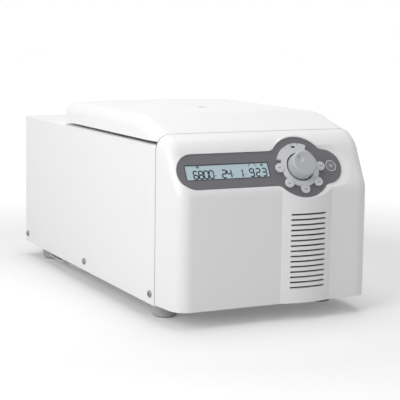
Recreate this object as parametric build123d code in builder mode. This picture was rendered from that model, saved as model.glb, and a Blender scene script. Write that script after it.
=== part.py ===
from build123d import *
from math import cos, radians, sin, tan
import os

# Refrigerated bench microcentrifuge.
# Millimetres, +Z up, front along -Y, origin under the middle of the feet.

os.makedirs("parts", exist_ok=True)


def save(piece, name):
    """Label one finished sub-part and write it as its own STEP file."""
    piece.label = name
    export_step(piece, "parts/" + name + ".step")


# Outer body
body_width = 280
case_rear = 275
seam_y = -215
seam_gap = 1.2
foot_height = 20
case_top = 218
sheet = 1.5
case_bend_radius = 4
fit_gap = 0.3
touch_gap = 0.1

# Front cover
cover_front = -269
cover_bottom = 21.7
cover_wall = 4
cover_side_taper = 6.4
cover_corner_radius = 25
cover_corner_overhang = 3
cover_edge_radius = 19
cover_brow_radius = 22
cover_seam_top = 231
cover_seam_slope = 18

# Tilted control face of the front cover
face_origin_y = -266
face_origin_z = 168
face_tilt = 30

# Vent column on the front cover
column_x = 41.5
column_width = 71
column_bulge = 6
vent_count = 15
vent_pitch = 6.52
vent_height = 2.2
vent_width = 49.5
vent_centre_x = 42.25
vent_first_z = 41.5
vent_screen_thickness = 1.2
vent_screen_margin = 3
cover_boss_inset = 40
cover_boss_z = (45, 138)
cover_boss_radius = 5

# Control panel, in the plane of the control face: x to the right, second value up the slope
recess_depth = 2.2
panel_thickness = 1.2
panel_bar_left = -106.5
panel_bar_low = 0.5
panel_bar_high = 47.5
panel_disc_x = 39
panel_disc_y = 24.5
panel_disc_radius = 41
panel_bump_x = 76
panel_bump_radius = 23
panel_blend_radius = 12
panel_rim_width = 1.5
panel_rim_foot = 5
panel_rim_depth = 6
scoop_shift = 6
scoop_radius = 30

# Display
display_left = -119
display_right = -4.7
display_low = 13.1
display_high = 33.4
display_sink = 0.5
display_frame = 1
display_thickness = 5

# Dial, keys and the ring between them
dial_roof = 3
dial_edge = 2.5
dial_draft = 2
dial_dimple_x = -5
dial_dimple_y = 6
dial_x = 38.5
dial_y = 24
dial_radius = 17
dial_top = 15
dial_dimple_radius = 5
dial_dimple_depth = 1.6
dial_travel = 0.8
ring_radius = 26
ring_crown_radius = 32
ring_hole_radius = 19
ring_height = 2.4
ring_crown_start = 62
ring_crown_end = 158
key_radius = 6
key_circle_radius = 29
key_angles = (180, 225, 270, 315, 0)
key_proud = 0.5
key_travel = 0.5
key_stem_radius = 2
key_edge = 0.4
ring_notch_count = 3
ring_notch_start = 84
ring_notch_range = 54
ring_notch_depth = 5
ring_notch_width = 1.4
start_key_x = 84.3
start_key_radius = 8.1
start_key_thickness = 2.6
status_lamp_x = 35
status_lamp_y = 51
status_lamp_size = (5, 2.4)

# Boards behind the control face
board_depth = 18
board_thickness = 1.6
board_left = -122
board_right = 97
board_low = -9
board_hole_x = 8
board_hole_y = 5
board_high = 46
boss_radius = 3.5
switch_height = 7.6
switch_base = 6
encoder_radius = 7
encoder_height = 7
encoder_bush_radius = 4.5
encoder_bush_length = 7
shaft_clearance = 0.05
encoder_shaft_radius = 3
plunger_radius = 4.2
plunger_thickness = 0.8

# Lid
lid_bottom = 222
lid_rear = 105
lid_wall = 3
lid_side_radius = 20
lid_rear_radius = 10
lid_top = 252
lid_stations = (
    (-206, 234.3, 0.5),
    (-197, 237.5, 0.8),
    (-188, 240.0, 1.1),
    (-179, 242.3, 1.4),
    (-170, 245.4, 1.6),
    (-161, 248.4, 1.8),
    (-152, 250.4, 1.9),
    (-143, 251.5, 2.0),
    (-134, lid_top, 2.0),
)
lid_seam_crown = 0.2
port_x = 0
port_y = -60
port_dish_radius = 25
port_dish_depth = 1.6
port_lens_radius = 7
port_lens_flange = 10
lens_flange_thickness = 2
lens_sink = 0.8
lens_edge = 0.6
liner_corner = 20
liner_bottom = 226
liner_thickness = 2.5
liner_inset = 10
liner_front = -200
liner_rear = 88
liner_rib_height = 8
lid_boss_radius = 5
lid_boss_inset = 25
lid_boss_y = (-120, -40, 35)
lid_boss_top = 247.8

# Lid hinge
hinge_y = 96
hinge_z = 231
hinge_x = 85
hinge_pin_radius = 3
hinge_knuckle_radius = 4.5
hinge_knuckle_width = 16
hinge_cheek_radius = 6
hinge_cheek_thickness = 4
hinge_side_gap = 0.4
hinge_foot_width = 40
hinge_foot_length = 13
hinge_foot_thickness = 2
hinge_notch_width = 44
hinge_notch_top = 240
hinge_arm_front = 55
hinge_arm_back = 84

# Deck around the chamber
deck_thickness = 3.2
deck_flange_overlap = 14
deck_opening_half_width = 118
deck_opening_rear = 84
deck_collar_width = 4
deck_collar_top = 221

# Centrifuge chamber
chamber_y = -60
bowl_radius = 96
bowl_wall = 1.2
bowl_floor = 118
bowl_floor_radius = 14
bowl_flange_radius = 103
bowl_hole_radius = 21
seal_inner_radius = 97.5
seal_round = 2
coil_tube_radius = 3
coil_pitch = 9
coil_turns = 8
coil_first_z = 128
insulation_bottom = 104
insulation_half_width = 115
insulation_rear = 55
insulation_front = -176

# Drive
motor_radius = 44
motor_top = 103.5
motor_plate_bottom = 45
motor_plate_thickness = 4
motor_plate_radius = 66
motor_boss_radius = 19
motor_boss_top = 128
mount_radius = 9
mount_angles = (45, 135, 225, 315)
mount_circle_radius = 55
mount_waist = 2
motor_rib_count = 12
motor_rib = 4
shaft_radius = 6
shaft_bottom = 60
shaft_top = 196

# Rotor
rotor_radius = 84
rotor_bottom = 138
rotor_top = 186
rotor_hub_radius = 20
rotor_rim_height = 26
rotor_well_radius = 70
rotor_well_depth = 22
tube_count = 24
tube_radius = 5.6
tube_depth = 36
tube_circle_radius = 52
tube_tilt = 45
rotor_lid_radius = 76
rotor_lid_thickness = 3
rotor_nut_radius = 14
rotor_nut_height = 12
nut_grip_count = 8
nut_grip_radius = 2

# Lid lock
lock_y = -186
lock_z = 180
lock_pin_radius = 2.5
lock_width = 46
lock_length = 30
lock_bottom = 160
lock_wall = 3
striker_y = -174
striker_z = 200
striker_radius = 2.5
striker_half_width = 9
striker_plate_width = 48
striker_plate_depth = 12.5
striker_plate_thickness = 2
striker_slot_length = 30
hook_width = 8
hook_arm = 5
hook_swing = 25
hook_nose_gap = 1.5

# Base and bulkheads
base_flange_height = 20
rear_flange_inset = 14.2
front_bulkhead_top = 212.9
bulkhead_window_width = 80
bulkhead_window_height = 90
bulkhead_air_z = 70
mid_bulkhead_y = 62
screw_z = 33
side_screw_y = (-201.5, 21.6, 265)
screw_head_radius = 4.5
screw_head_height = 2.2
screw_shank_radius = 2
screw_length = 8
screw_clearance = 0.15
screw_slot_width = 1.2
screw_slot_length = 6.3
foot_radius = 17
foot_inset = 27
foot_front_y = -187
foot_rear_y = 224
foot_bolt_radius = 5
foot_socket_depth = 6
foot_sole_radius = 13
foot_sole_bevel = 2.5
channel_inset = 10.2
channel_lip = 9
channels = ((66, 128, 10.5), (136, 207, 8))

# Rear panel
panel_inset = 4
rear_panel_screw_inset = 20.2
rear_panel_screw_z = (30, 206)
fan_side_gap = 12.7
fan_z = 112
fan_size = 119
fan_depth = 25
fan_opening_radius = 56
fan_hub_radius = 20
fan_blade_radius = 54
fan_blades_count = 7
fan_shaft_radius = 2.5
guard_spoke_radius = 0.8
guard_spoke_angles = (45, 135)
guard_wire_radius = 1.3
strut_depth = 4
strut_width = 5
blade_chord = 14
blade_thickness = 1.4
guard_rings = (18, 32, 46)
rear_slot_count = 9
rear_slot_width = 70
rear_slot_height = 3.2
rear_slot_pitch = 9
rear_slot_x = -62
rear_slot_z = 122

# Mains inlet and switch on the rear panel
inlet_inset = 46.2
inlet_z = 62
inlet_flange_width = 31
inlet_flange_height = 25
inlet_flange_thickness = 2
inlet_body_width = 27
inlet_body_height = 19.8
inlet_depth = 22
inlet_mouth_width = 24.4
inlet_mouth_height = 16.6
inlet_mouth_chamfer = 4.5
inlet_mouth_depth = 16.5
inlet_pin_length = 11
inlet_pin_spacing = 7
inlet_pin_offset = 4
inlet_pin_width = 2
inlet_pin_height = 4
switch_spacing = 44
switch_z = 62
switch_width = 15
switch_tall = 21
switch_depth = 18
switch_frame = 2.5
rocker_swing = 16
rocker_pivot_depth = 2.5
rocker_end_gap = 0.9
rocker_crest = 3.2
rocker_back = 3
rocker_dish = 1.2
switch_frame_thickness = 1.5

# Power board
power_board_side_gap = 9.2
power_board_y = -20
power_board_width = 62
power_board_length = 150
stud_height = 8
power_board_blocks = (
    (0, -45, 46, 40, 38),
    (-16, 5, 18, 44, 30),
    (14, 0, 20, 20, 26),
    (14, 28, 14, 14, 24),
    (-12, 50, 30, 30, 22),
)

# Refrigeration
compressor_inset = 76.2
compressor_y = 176
compressor_radius = 52
compressor_bottom = 36
compressor_top = 162
compressor_plate_size = 130
compressor_plate_thickness = 3
compressor_dome = 20
compressor_seam = 3
condenser_depth = 32
condenser_width = 118
condenser_height = 118
condenser_fin_pitch = 5
condenser_fin = 0.8
condenser_gap = 4
condenser_rows = 5
line_radius = 3
drier_x = 20
drier_y = 130
drier_z = 80
drier_length = 80
drier_radius = 9
drier_neck = 6
drier_clip_width = 12
drier_clip_foot = 16
pipe_high_z = 190
pipe_reach = 9.5
pipe_bend = 8
pipe_drop_x = -15
line_turn_y = 40
suction_x = -30
suction_z = 60
suction_turn_y = 98

# Worked out from the sizes above
half_width = body_width / 2
cover_back = seam_y - seam_gap / 2
case_front = seam_y + seam_gap / 2
tilt_sin = sin(radians(face_tilt))
tilt_cos = cos(radians(face_tilt))
face = Plane(
    origin=(0, face_origin_y, face_origin_z),
    x_dir=(1, 0, 0),
    z_dir=(0, -tilt_cos, tilt_sin),
)
base_top = foot_height + sheet
base_half_width = half_width - sheet - fit_gap
cover_boss_x = half_width - cover_boss_inset
liner_half_width = half_width - liner_inset
lid_boss_x = half_width - lid_boss_inset
rear_flange_half_width = base_half_width - rear_flange_inset
foot_x = half_width - foot_inset
channel_half_length = base_half_width - channel_inset
rear_panel_screw_x = base_half_width - rear_panel_screw_inset
fan_x = base_half_width - fan_side_gap - fan_size / 2
inlet_x = inlet_inset - base_half_width
switch_x = inlet_x + switch_spacing
compressor_x = compressor_inset - base_half_width
power_board_middle = (
    power_board_side_gap + power_board_width / 2 - base_half_width,
    power_board_y,
)
rear_face = case_rear - panel_inset
face_axis = Axis(face.origin, face.z_dir)
base_rear = rear_face - sheet


def face_point(y):
    """Height of the control face at a given depth y."""
    return face_origin_z + (y - face_origin_y) / tan(radians(face_tilt))


# Feet: tapered rubber with a socket underneath for the bolt that holds them
with BuildPart() as foot:
    with BuildSketch(Plane.XZ):
        with BuildLine():
            Polyline(
                (0, foot_socket_depth),
                (foot_bolt_radius, foot_socket_depth),
                (foot_bolt_radius, 0),
                (foot_sole_radius, 0),
                (foot_sole_radius + foot_sole_bevel, foot_sole_bevel),
                (foot_radius, foot_height),
                (0, foot_height),
                close=True,
            )
        make_face()
    revolve(axis=Axis.Z)

with BuildPart() as feet:
    with Locations(
        (-foot_x, foot_front_y, 0),
        (foot_x, foot_front_y, 0),
        (-foot_x, foot_rear_y, 0),
        (foot_x, foot_rear_y, 0),
    ):
        add(foot.part)
save(feet.part, "feet")

# Base plate: a sheet tray whose side and rear flanges carry the case and the rear panel
side_screw_points = [(0, y, screw_z) for y in side_screw_y]
rear_screw_points = [(s * rear_panel_screw_x, z) for s in (-1, 1) for z in rear_panel_screw_z]
screw_hole = screw_shank_radius + screw_clearance
with BuildPart() as base_plate:
    with BuildSketch(Plane.XY.offset(foot_height)):
        with Locations((0, (case_front + base_rear) / 2)):
            Rectangle(2 * base_half_width, base_rear - case_front)
    extrude(amount=sheet)
    with BuildSketch(Plane.XY.offset(base_top)):
        for side in (-1, 1):
            with Locations((side * (base_half_width - sheet / 2), (case_front + base_rear) / 2)):
                Rectangle(sheet, base_rear - case_front)
        with Locations((0, base_rear - sheet / 2)):
            Rectangle(2 * rear_flange_half_width, sheet)
    extrude(amount=base_flange_height)
    with Locations(*side_screw_points):
        Cylinder(screw_hole, body_width, rotation=(0, 90, 0), mode=Mode.SUBTRACT)
    with Locations(*[(x, base_rear, z) for x, z in rear_screw_points]):
        Cylinder(screw_hole, 4 * sheet, rotation=(90, 0, 0), mode=Mode.SUBTRACT)
save(base_plate.part, "base_plate")

# Two shallow channels across the underside, stiffening the base under the compressor
with BuildPart() as base_channels:
    for front_y, rear_y, low_z in channels:
        with BuildSketch(Plane.YZ.offset(-channel_half_length)):
            with BuildLine():
                Polyline(
                    (front_y, foot_height),
                    (front_y, foot_height - sheet),
                    (front_y + channel_lip, foot_height - sheet),
                    (front_y + channel_lip, low_z),
                    (rear_y - channel_lip, low_z),
                    (rear_y - channel_lip, foot_height - sheet),
                    (rear_y, foot_height - sheet),
                    (rear_y, foot_height),
                    (rear_y - channel_lip - sheet, foot_height),
                    (rear_y - channel_lip - sheet, low_z + sheet),
                    (front_y + channel_lip + sheet, low_z + sheet),
                    (front_y + channel_lip + sheet, foot_height),
                    close=True,
                )
            make_face()
        extrude(amount=2 * channel_half_length)
save(base_channels.part, "base_channels")

# Case: one bent sheet over both sides and the top, open under the lid
with BuildPart() as case_shell:
    for inset in (0, sheet):
        with BuildSketch(Plane.XZ.offset(-case_rear)):
            with BuildLine():
                half = half_width - inset
                bend = case_bend_radius - inset
                low = foot_height - inset
                high = case_top - inset
                Line((-half, low), (-half, high - bend))
                RadiusArc((-half, high - bend), (-half + bend, high), bend)
                Line((-half + bend, high), (half - bend, high))
                RadiusArc((half - bend, high), (half, high - bend), bend)
                Polyline((half, high - bend), (half, low), (-half, low))
            make_face()
        extrude(
            amount=case_rear - case_front,
            mode=Mode.ADD if inset == 0 else Mode.SUBTRACT,
        )
    with BuildSketch(Plane.XY.offset(case_top - 2 * sheet)):
        with Locations((0, (case_front + deck_opening_rear) / 2)):
            Rectangle(2 * deck_opening_half_width, deck_opening_rear - case_front)
    extrude(amount=3 * sheet, mode=Mode.SUBTRACT)
    with Locations(*side_screw_points):
        Cylinder(screw_hole, 2 * body_width, rotation=(0, 90, 0), mode=Mode.SUBTRACT)
save(case_shell.part, "case_shell")

# Pan head screws, six through the case sides and four through the rear panel
with BuildPart() as screw:
    Cylinder(screw_shank_radius, screw_length, align=(Align.CENTER, Align.CENTER, Align.MAX))
    Cylinder(screw_head_radius, screw_head_height, align=(Align.CENTER, Align.CENTER, Align.MIN))
    fillet(screw.edges().group_by(Axis.Z)[-1], screw_head_height / 2)
    with Locations((0, 0, screw_head_height)):
        Box(
            screw_slot_length,
            screw_slot_width,
            screw_head_height,
            mode=Mode.SUBTRACT,
        )
        Box(
            screw_slot_width,
            screw_slot_length,
            screw_head_height,
            mode=Mode.SUBTRACT,
        )

with BuildPart() as case_screws:
    for side in (-1, 1):
        for y in side_screw_y:
            head = Plane(origin=(side * half_width, y, screw_z), z_dir=(side, 0, 0))
            with Locations(head):
                add(screw.part)
    for x, z in rear_screw_points:
        with Locations(Plane(origin=(x, rear_face, z), z_dir=(0, 1, 0))):
            add(screw.part)
save(case_screws.part, "case_screws")


def cover_form(inset):
    """Outer form of the front cover, drawn in by inset everywhere but at its open back."""
    front = cover_front + inset
    low = cover_bottom + inset
    shift = inset / tilt_cos
    seam_top = cover_seam_top - inset
    half = half_width - inset
    plan_front = cover_front - cover_corner_overhang + inset
    front_half = half - (cover_back - plan_front) * tan(radians(cover_side_taper))
    radius = cover_corner_radius - inset
    with BuildPart() as form:
        with BuildSketch(Plane.XY.offset(low)) as plan:
            with BuildLine():
                Polyline(
                    (-half, cover_back),
                    (-front_half, plan_front),
                    (front_half, plan_front),
                    (half, cover_back),
                    close=True,
                )
            make_face()
            fillet(plan.vertices().group_by(Axis.Y)[0], radius)
        extrude(amount=cover_seam_top)
        with BuildSketch(Plane.YZ.offset(-body_width)) as side_view:
            with BuildLine():
                brow_y = front
                brow_z = face_point(brow_y - shift)
                seam_point = (cover_back, seam_top)
                rise = radians(90 - face_tilt)
                fall = radians(cover_seam_slope)
                chord = (rise + fall) / 2
                # The crown arc leaves the tilted face smoothly and meets the seam at its slope.
                run = seam_top - face_point(cover_back - shift)
                length = run / (sin(chord) - cos(chord) / tan(radians(face_tilt)))
                crown_y = cover_back - length * cos(chord)
                crown_z = seam_top - length * sin(chord)
                crown_radius = length / 2 / sin((rise - fall) / 2)
                Polyline(
                    (cover_back, seam_top),
                    (cover_back, low - inset),
                    (brow_y, low - inset),
                    (brow_y, brow_z),
                    (crown_y, crown_z),
                )
                RadiusArc((crown_y, crown_z), seam_point, crown_radius)
            make_face()
            brow = side_view.vertices().sort_by_distance((brow_y, brow_z))[0]
            fillet(brow, cover_brow_radius - inset)
        extrude(amount=2 * body_width, mode=Mode.INTERSECT)
        edges = [
            edge
            for edge in form.edges()
            if abs((edge @ 0.5).X) > half / 2
            and (edge @ 0.5).Y < cover_back - touch_gap
            and (edge @ 0.5).Z > low + touch_gap
            and not (
                edge.geom_type == GeomType.LINE
                and abs((edge % 0.5).Z) > 0.99
                and (edge @ 0.5).Y > front + touch_gap
            )
        ]
        fillet(edges, cover_edge_radius - inset)
    return form.part




def column_form(inset):
    """Bulged vent column of the front cover, cut above by the control face."""
    half = column_width / 2 - inset
    back = cover_front + 3 * cover_wall
    low = cover_bottom + inset
    front = cover_front - column_bulge + inset
    with BuildPart() as form:
        with BuildSketch(Plane.XY.offset(low)):
            with BuildLine():
                left = (column_x - half, cover_front + inset)
                right = (column_x + half, cover_front + inset)
                ThreePointArc(left, (column_x, front), right)
                Polyline(right, (column_x + half, back), (column_x - half, back), left)
            make_face()
        extrude(amount=face_point(back))
        with BuildSketch(Plane.YZ):
            with BuildLine():
                shift = inset / tilt_cos
                Polyline(
                    (front - cover_wall, low),
                    (back, low),
                    (back, face_point(back - shift)),
                    (front - cover_wall, face_point(front - cover_wall - shift)),
                    close=True,
                )
            make_face()
        extrude(amount=body_width, mode=Mode.INTERSECT)
    return form.part


def panel_outline(grow):
    """Outline of the control panel: a bar with a round end, a disc and a smaller bump."""
    bar_radius = (panel_bar_high - panel_bar_low) / 2 + grow
    bar_y = (panel_bar_high + panel_bar_low) / 2
    with BuildSketch(Plane.XY) as outline:
        with Locations((panel_bar_left, bar_y)):
            Circle(bar_radius)
        with Locations(((panel_bar_left + panel_disc_x) / 2, bar_y)):
            Rectangle(panel_disc_x - panel_bar_left, 2 * bar_radius)
        with Locations((panel_disc_x, panel_disc_y)):
            Circle(panel_disc_radius + grow)
        with Locations((panel_bump_x, panel_disc_y)):
            Circle(panel_bump_radius + grow)
        corners = [
            corner
            for corner in outline.vertices()
            if corner.X > panel_bar_left + bar_radius
            and abs(corner.Y - panel_disc_y) > panel_bump_radius / 2
        ]
        fillet(corners, panel_blend_radius - grow)
    return outline.sketch


panel_shape = panel_outline(0)
plate_shape = panel_outline(-fit_gap)
dial_point = (dial_x, dial_y)
key_points = [
    (
        dial_x + key_circle_radius * cos(radians(angle)),
        dial_y + key_circle_radius * sin(radians(angle)),
    )
    for angle in key_angles
]
start_key_point = (start_key_x, panel_disc_y)
display_width = display_right - display_left
display_height = display_high - display_low
display_point = ((display_left + display_right) / 2, (display_low + display_high) / 2)
key_stem_hole = key_stem_radius + fit_gap
bush_hole = encoder_bush_radius + fit_gap
status_lamp_point = (status_lamp_x, status_lamp_y)
boss_points = [
    (x, y)
    for x in (board_left + board_hole_x, board_right - board_hole_x)
    for y in (board_low + board_hole_y, board_high - board_hole_y)
]

outer_form = cover_form(0)
inner_form = cover_form(cover_wall)
outer_column = column_form(0)
inner_column = column_form(cover_wall)

# Bosses in the front cover that take the screws from its bulkhead
cover_boss_points = [(x, z) for x in (-cover_boss_x, cover_boss_x) for z in cover_boss_z]
with BuildPart() as cover_bosses:
    with BuildSketch(Plane.XZ.offset(-cover_back)):
        with Locations(*cover_boss_points):
            Circle(cover_boss_radius)
    extrude(amount=cover_back - cover_front)
    add(outer_form, mode=Mode.INTERSECT)

# Front cover: one moulded shell with the vent column, the vents and the recess for the panel
with BuildPart() as front_cover:
    add(outer_form)
    add(outer_column)
    for depth, grow in ((panel_rim_depth, panel_rim_foot), (0, panel_rim_width)):
        with BuildSketch(face.offset(-depth)):
            with Locations((panel_disc_x, panel_disc_y)):
                radius = panel_disc_radius + grow
                Circle(radius)
                Rectangle(
                    2 * radius,
                    radius,
                    align=(Align.CENTER, Align.MIN),
                    mode=Mode.INTERSECT,
                )
    loft()
    add(inner_form, mode=Mode.SUBTRACT)
    add(inner_column, mode=Mode.SUBTRACT)
    add(cover_bosses.part)
    with BuildSketch(Plane.XZ.offset(-cover_back)):
        with Locations(*cover_boss_points):
            Circle(screw_hole)
    extrude(amount=screw_length, mode=Mode.SUBTRACT)
    with BuildSketch(face.offset(-recess_depth)):
        add(panel_shape)
    extrude(amount=4 * recess_depth, mode=Mode.SUBTRACT)
    with BuildSketch(face.offset(-recess_depth)):
        with Locations((panel_bump_x, panel_disc_y)):
            Circle(panel_bump_radius)
    with BuildSketch(face):
        with Locations((panel_bump_x + scoop_shift, panel_disc_y)):
            Circle(scoop_radius)
    loft(mode=Mode.SUBTRACT)
    with BuildSketch(face.offset(-recess_depth)):
        with Locations(*key_points, start_key_point):
            Circle(key_stem_hole)
        with Locations(dial_point):
            Circle(bush_hole)
        with Locations(display_point):
            Rectangle(display_width + fit_gap, display_height + fit_gap)
        with Locations(status_lamp_point):
            Rectangle(status_lamp_size[0] + fit_gap, status_lamp_size[1] + fit_gap)
    extrude(amount=-3 * cover_wall, mode=Mode.SUBTRACT)
    with BuildSketch(face.offset(-start_key_thickness - recess_depth)):
        with Locations(start_key_point):
            Circle(start_key_radius + fit_gap)
    extrude(amount=3 * recess_depth, mode=Mode.SUBTRACT)
    with BuildSketch(face.offset(recess_depth - cover_wall - recess_depth)):
        with Locations(*boss_points):
            Circle(boss_radius)
    extrude(amount=cover_wall - board_depth)
    with Locations(
        *[
            (vent_centre_x, cover_front, vent_first_z + i * vent_pitch)
            for i in range(vent_count)
        ]
    ):
        Box(vent_width, 6 * cover_wall, vent_height, mode=Mode.SUBTRACT)
save(front_cover.part, "front_cover")

# Screws that pull the front cover onto its bulkhead, from behind
bulkhead_front = case_front
bulkhead_back = bulkhead_front + sheet

# Front bulkhead: a sheet wall behind the front cover, open for air and for the wiring
with BuildPart() as front_bulkhead:
    with BuildSketch(Plane.XZ.offset(-bulkhead_back)):
        with Locations((0, (base_top + front_bulkhead_top) / 2)):
            Rectangle(
                2 * (base_half_width - 2 * sheet),
                front_bulkhead_top - base_top - 2 * touch_gap,
            )
        with Locations((column_x, (vent_first_z + face_origin_z) / 2)):
            Rectangle(
                bulkhead_window_width,
                bulkhead_window_height,
                mode=Mode.SUBTRACT,
            )
        with Locations((display_point[0], face_origin_z + display_point[1])):
            Rectangle(
                bulkhead_window_width,
                bulkhead_window_width / 2,
                mode=Mode.SUBTRACT,
            )
        with Locations(*cover_boss_points):
            Circle(screw_hole, mode=Mode.SUBTRACT)
    extrude(amount=sheet)
save(front_bulkhead.part, "front_bulkhead")

with BuildPart() as cover_screws:
    for x, z in cover_boss_points:
        with Locations(Plane(origin=(x, bulkhead_back, z), z_dir=(0, 1, 0))):
            add(screw.part)
save(cover_screws.part, "cover_screws")

# Middle bulkhead: a sheet wall between the chamber and the compressor
with BuildPart() as mid_bulkhead:
    with BuildSketch(Plane.XZ.offset(-mid_bulkhead_y - sheet)):
        with Locations((0, (base_top + front_bulkhead_top) / 2)):
            Rectangle(
                2 * (base_half_width - 2 * sheet),
                front_bulkhead_top - base_top - 2 * touch_gap,
            )
        with Locations((0, bulkhead_air_z)):
            Rectangle(
                bulkhead_window_width,
                bulkhead_window_width / 2,
                mode=Mode.SUBTRACT,
            )
    extrude(amount=sheet)
save(mid_bulkhead.part, "mid_bulkhead")

# Dark screen behind the vents
screen_front = cover_front + cover_wall + fit_gap
with BuildPart() as vent_screen:
    with BuildSketch(Plane.XZ.offset(-screen_front - vent_screen_thickness)):
        with Locations((vent_centre_x, vent_first_z + (vent_count - 1) * vent_pitch / 2)):
            Rectangle(
                column_width - 2 * cover_wall + 2 * vent_screen_margin,
                vent_count * vent_pitch + 2 * vent_screen_margin,
            )
    extrude(amount=vent_screen_thickness)
save(vent_screen.part, "vent_screen")

# Control panel: a dark plate that fills the recess
panel_floor = -recess_depth
panel_top = panel_floor + panel_thickness
with BuildPart() as control_panel:
    with BuildSketch(face.offset(panel_floor)):
        add(plate_shape)
        with Locations(*key_points):
            Circle(key_stem_hole, mode=Mode.SUBTRACT)
        with Locations(start_key_point):
            Circle(start_key_radius + fit_gap, mode=Mode.SUBTRACT)
        with Locations(dial_point):
            Circle(bush_hole, mode=Mode.SUBTRACT)
        with Locations(display_point):
            Rectangle(
                display_width + fit_gap,
                display_height + fit_gap,
                mode=Mode.SUBTRACT,
            )
        with Locations(status_lamp_point):
            Rectangle(
                status_lamp_size[0] + fit_gap,
                status_lamp_size[1] + fit_gap,
                mode=Mode.SUBTRACT,
            )
    extrude(amount=panel_thickness)
save(control_panel.part, "control_panel")

# Ring around the dial, with a notched crown above and round seats for the keys
with BuildPart() as keypad_ring:
    with BuildSketch(face.offset(panel_top)):
        with Locations(dial_point):
            Circle(ring_radius)
        with BuildLine():
            crown = CenterArc(
                dial_point,
                ring_crown_radius,
                ring_crown_start,
                ring_crown_end - ring_crown_start,
            )
            Polyline(crown @ 1, dial_point, crown @ 0)
        make_face()
        with Locations(dial_point):
            Circle(ring_hole_radius, mode=Mode.SUBTRACT)
            with PolarLocations(
                ring_crown_radius,
                ring_notch_count,
                start_angle=ring_notch_start,
                angular_range=ring_notch_range,
            ):
                Rectangle(ring_notch_depth, ring_notch_width, mode=Mode.SUBTRACT)
        with Locations(*key_points):
            Circle(key_radius + fit_gap, mode=Mode.SUBTRACT)
        with Locations(status_lamp_point):
            Rectangle(
                status_lamp_size[0] + fit_gap,
                status_lamp_size[1] + fit_gap,
                mode=Mode.SUBTRACT,
            )
    extrude(amount=ring_height)
save(keypad_ring.part, "keypad_ring")

# Status lamp: a small bar set in the ring
with BuildPart() as status_lamp:
    with BuildSketch(face.offset(panel_floor - touch_gap)):
        with Locations(status_lamp_point):
            Rectangle(*status_lamp_size)
    extrude(amount=panel_thickness + ring_height)
save(status_lamp.part, "status_lamp")

# Display: a framed glass cell that shows through the panel
display_face = panel_top - display_sink
with BuildPart() as display_module:
    with BuildSketch(face.offset(-cover_wall - touch_gap)):
        with Locations(display_point):
            Rectangle(display_width + 2 * display_frame, display_height + 2 * display_frame)
    extrude(amount=-display_thickness)
    with BuildSketch(face.offset(-cover_wall - touch_gap)):
        with Locations(display_point):
            Rectangle(display_width, display_height)
    extrude(amount=display_face + cover_wall + touch_gap)
save(display_module.part, "display_module")

# Display board on four bosses, with a switch under each key
board_front = -board_depth
key_foot = board_front + switch_height + key_travel + touch_gap
with BuildPart() as display_board:
    with BuildSketch(face.offset(board_front - board_thickness)):
        with Locations(((board_left + board_right) / 2, (board_low + board_high) / 2)):
            Rectangle(board_right - board_left, board_high - board_low)
    extrude(amount=board_thickness)
    with BuildSketch(face.offset(board_front)):
        with Locations(*key_points, start_key_point):
            Rectangle(switch_base, switch_base)
    extrude(amount=switch_height / 2)
    with BuildSketch(face.offset(board_front)):
        with Locations(*key_points, start_key_point):
            Circle(key_stem_radius)
    extrude(amount=switch_height)
    with BuildSketch(face.offset(board_front)):
        with Locations((display_point[0], display_point[1])):
            Rectangle(display_width - 2 * display_frame, display_height / 2)
    extrude(amount=board_depth - cover_wall - 2 * touch_gap - display_thickness)
save(display_board.part, "display_board")

# Five round keys around the ring, each on a stem that presses its switch
key_base = panel_top + key_travel + 2 * touch_gap
for index, point in enumerate(key_points, start=1):
    with BuildPart() as ring_key:
        with BuildSketch(face.offset(key_base)):
            with Locations(point):
                Circle(key_radius)
        extrude(amount=panel_top + ring_height + key_proud - key_base)
        fillet(ring_key.faces().sort_by(face_axis)[-1].edges(), key_edge)
        with BuildSketch(face.offset(key_foot)):
            with Locations(point):
                Circle(key_stem_radius)
        extrude(amount=key_base - key_foot)
    save(ring_key.part, "key_" + str(index))

# Start and stop key, flush with the panel
with BuildPart() as start_key:
    with BuildSketch(face.offset(panel_top - start_key_thickness)):
        with Locations(start_key_point):
            Circle(start_key_radius)
    extrude(amount=start_key_thickness)
    fillet(start_key.faces().sort_by(face_axis)[-1].edges(), key_edge)
    with BuildSketch(face.offset(key_foot)):
        with Locations(start_key_point):
            Circle(key_stem_radius)
    extrude(amount=panel_top - start_key_thickness - key_foot)
save(start_key.part, "start_key")

# Encoder: its body on the board, a plunger for the push and the shaft that carries the dial
plunger_room = plunger_thickness + dial_travel + fit_gap
cavity_floor = board_front + fit_gap
cavity_top = cavity_floor + plunger_room + 2 * fit_gap + fit_gap
shaft_foot = cavity_floor + plunger_room + fit_gap
with BuildPart() as encoder:
    with BuildSketch(face.offset(board_front)):
        with Locations(dial_point):
            RectangleRounded(2 * encoder_radius, 2 * encoder_radius, 1)
    extrude(amount=encoder_height)
    with BuildSketch(face.offset(board_front)):
        with Locations(dial_point):
            Circle(encoder_bush_radius)
    extrude(amount=encoder_height + encoder_bush_length)
    with BuildSketch(face.offset(cavity_floor)):
        with Locations(dial_point):
            Circle(plunger_radius + fit_gap)
    extrude(amount=cavity_top - cavity_floor, mode=Mode.SUBTRACT)
    with BuildSketch(face.offset(cavity_floor)):
        with Locations(dial_point):
            Circle(encoder_shaft_radius + shaft_clearance)
    extrude(amount=board_depth, mode=Mode.SUBTRACT)
save(encoder.part, "encoder")

with BuildPart() as encoder_plunger:
    with BuildSketch(face.offset(shaft_foot - fit_gap - plunger_thickness)):
        with Locations(dial_point):
            Circle(plunger_radius)
    extrude(amount=plunger_thickness)
save(encoder_plunger.part, "encoder_plunger")

with BuildPart() as encoder_shaft:
    with BuildSketch(face.offset(shaft_foot)):
        with Locations(dial_point):
            Circle(encoder_shaft_radius)
    extrude(amount=dial_top - dial_roof - shaft_foot)
save(encoder_shaft.part, "encoder_shaft")

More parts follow.
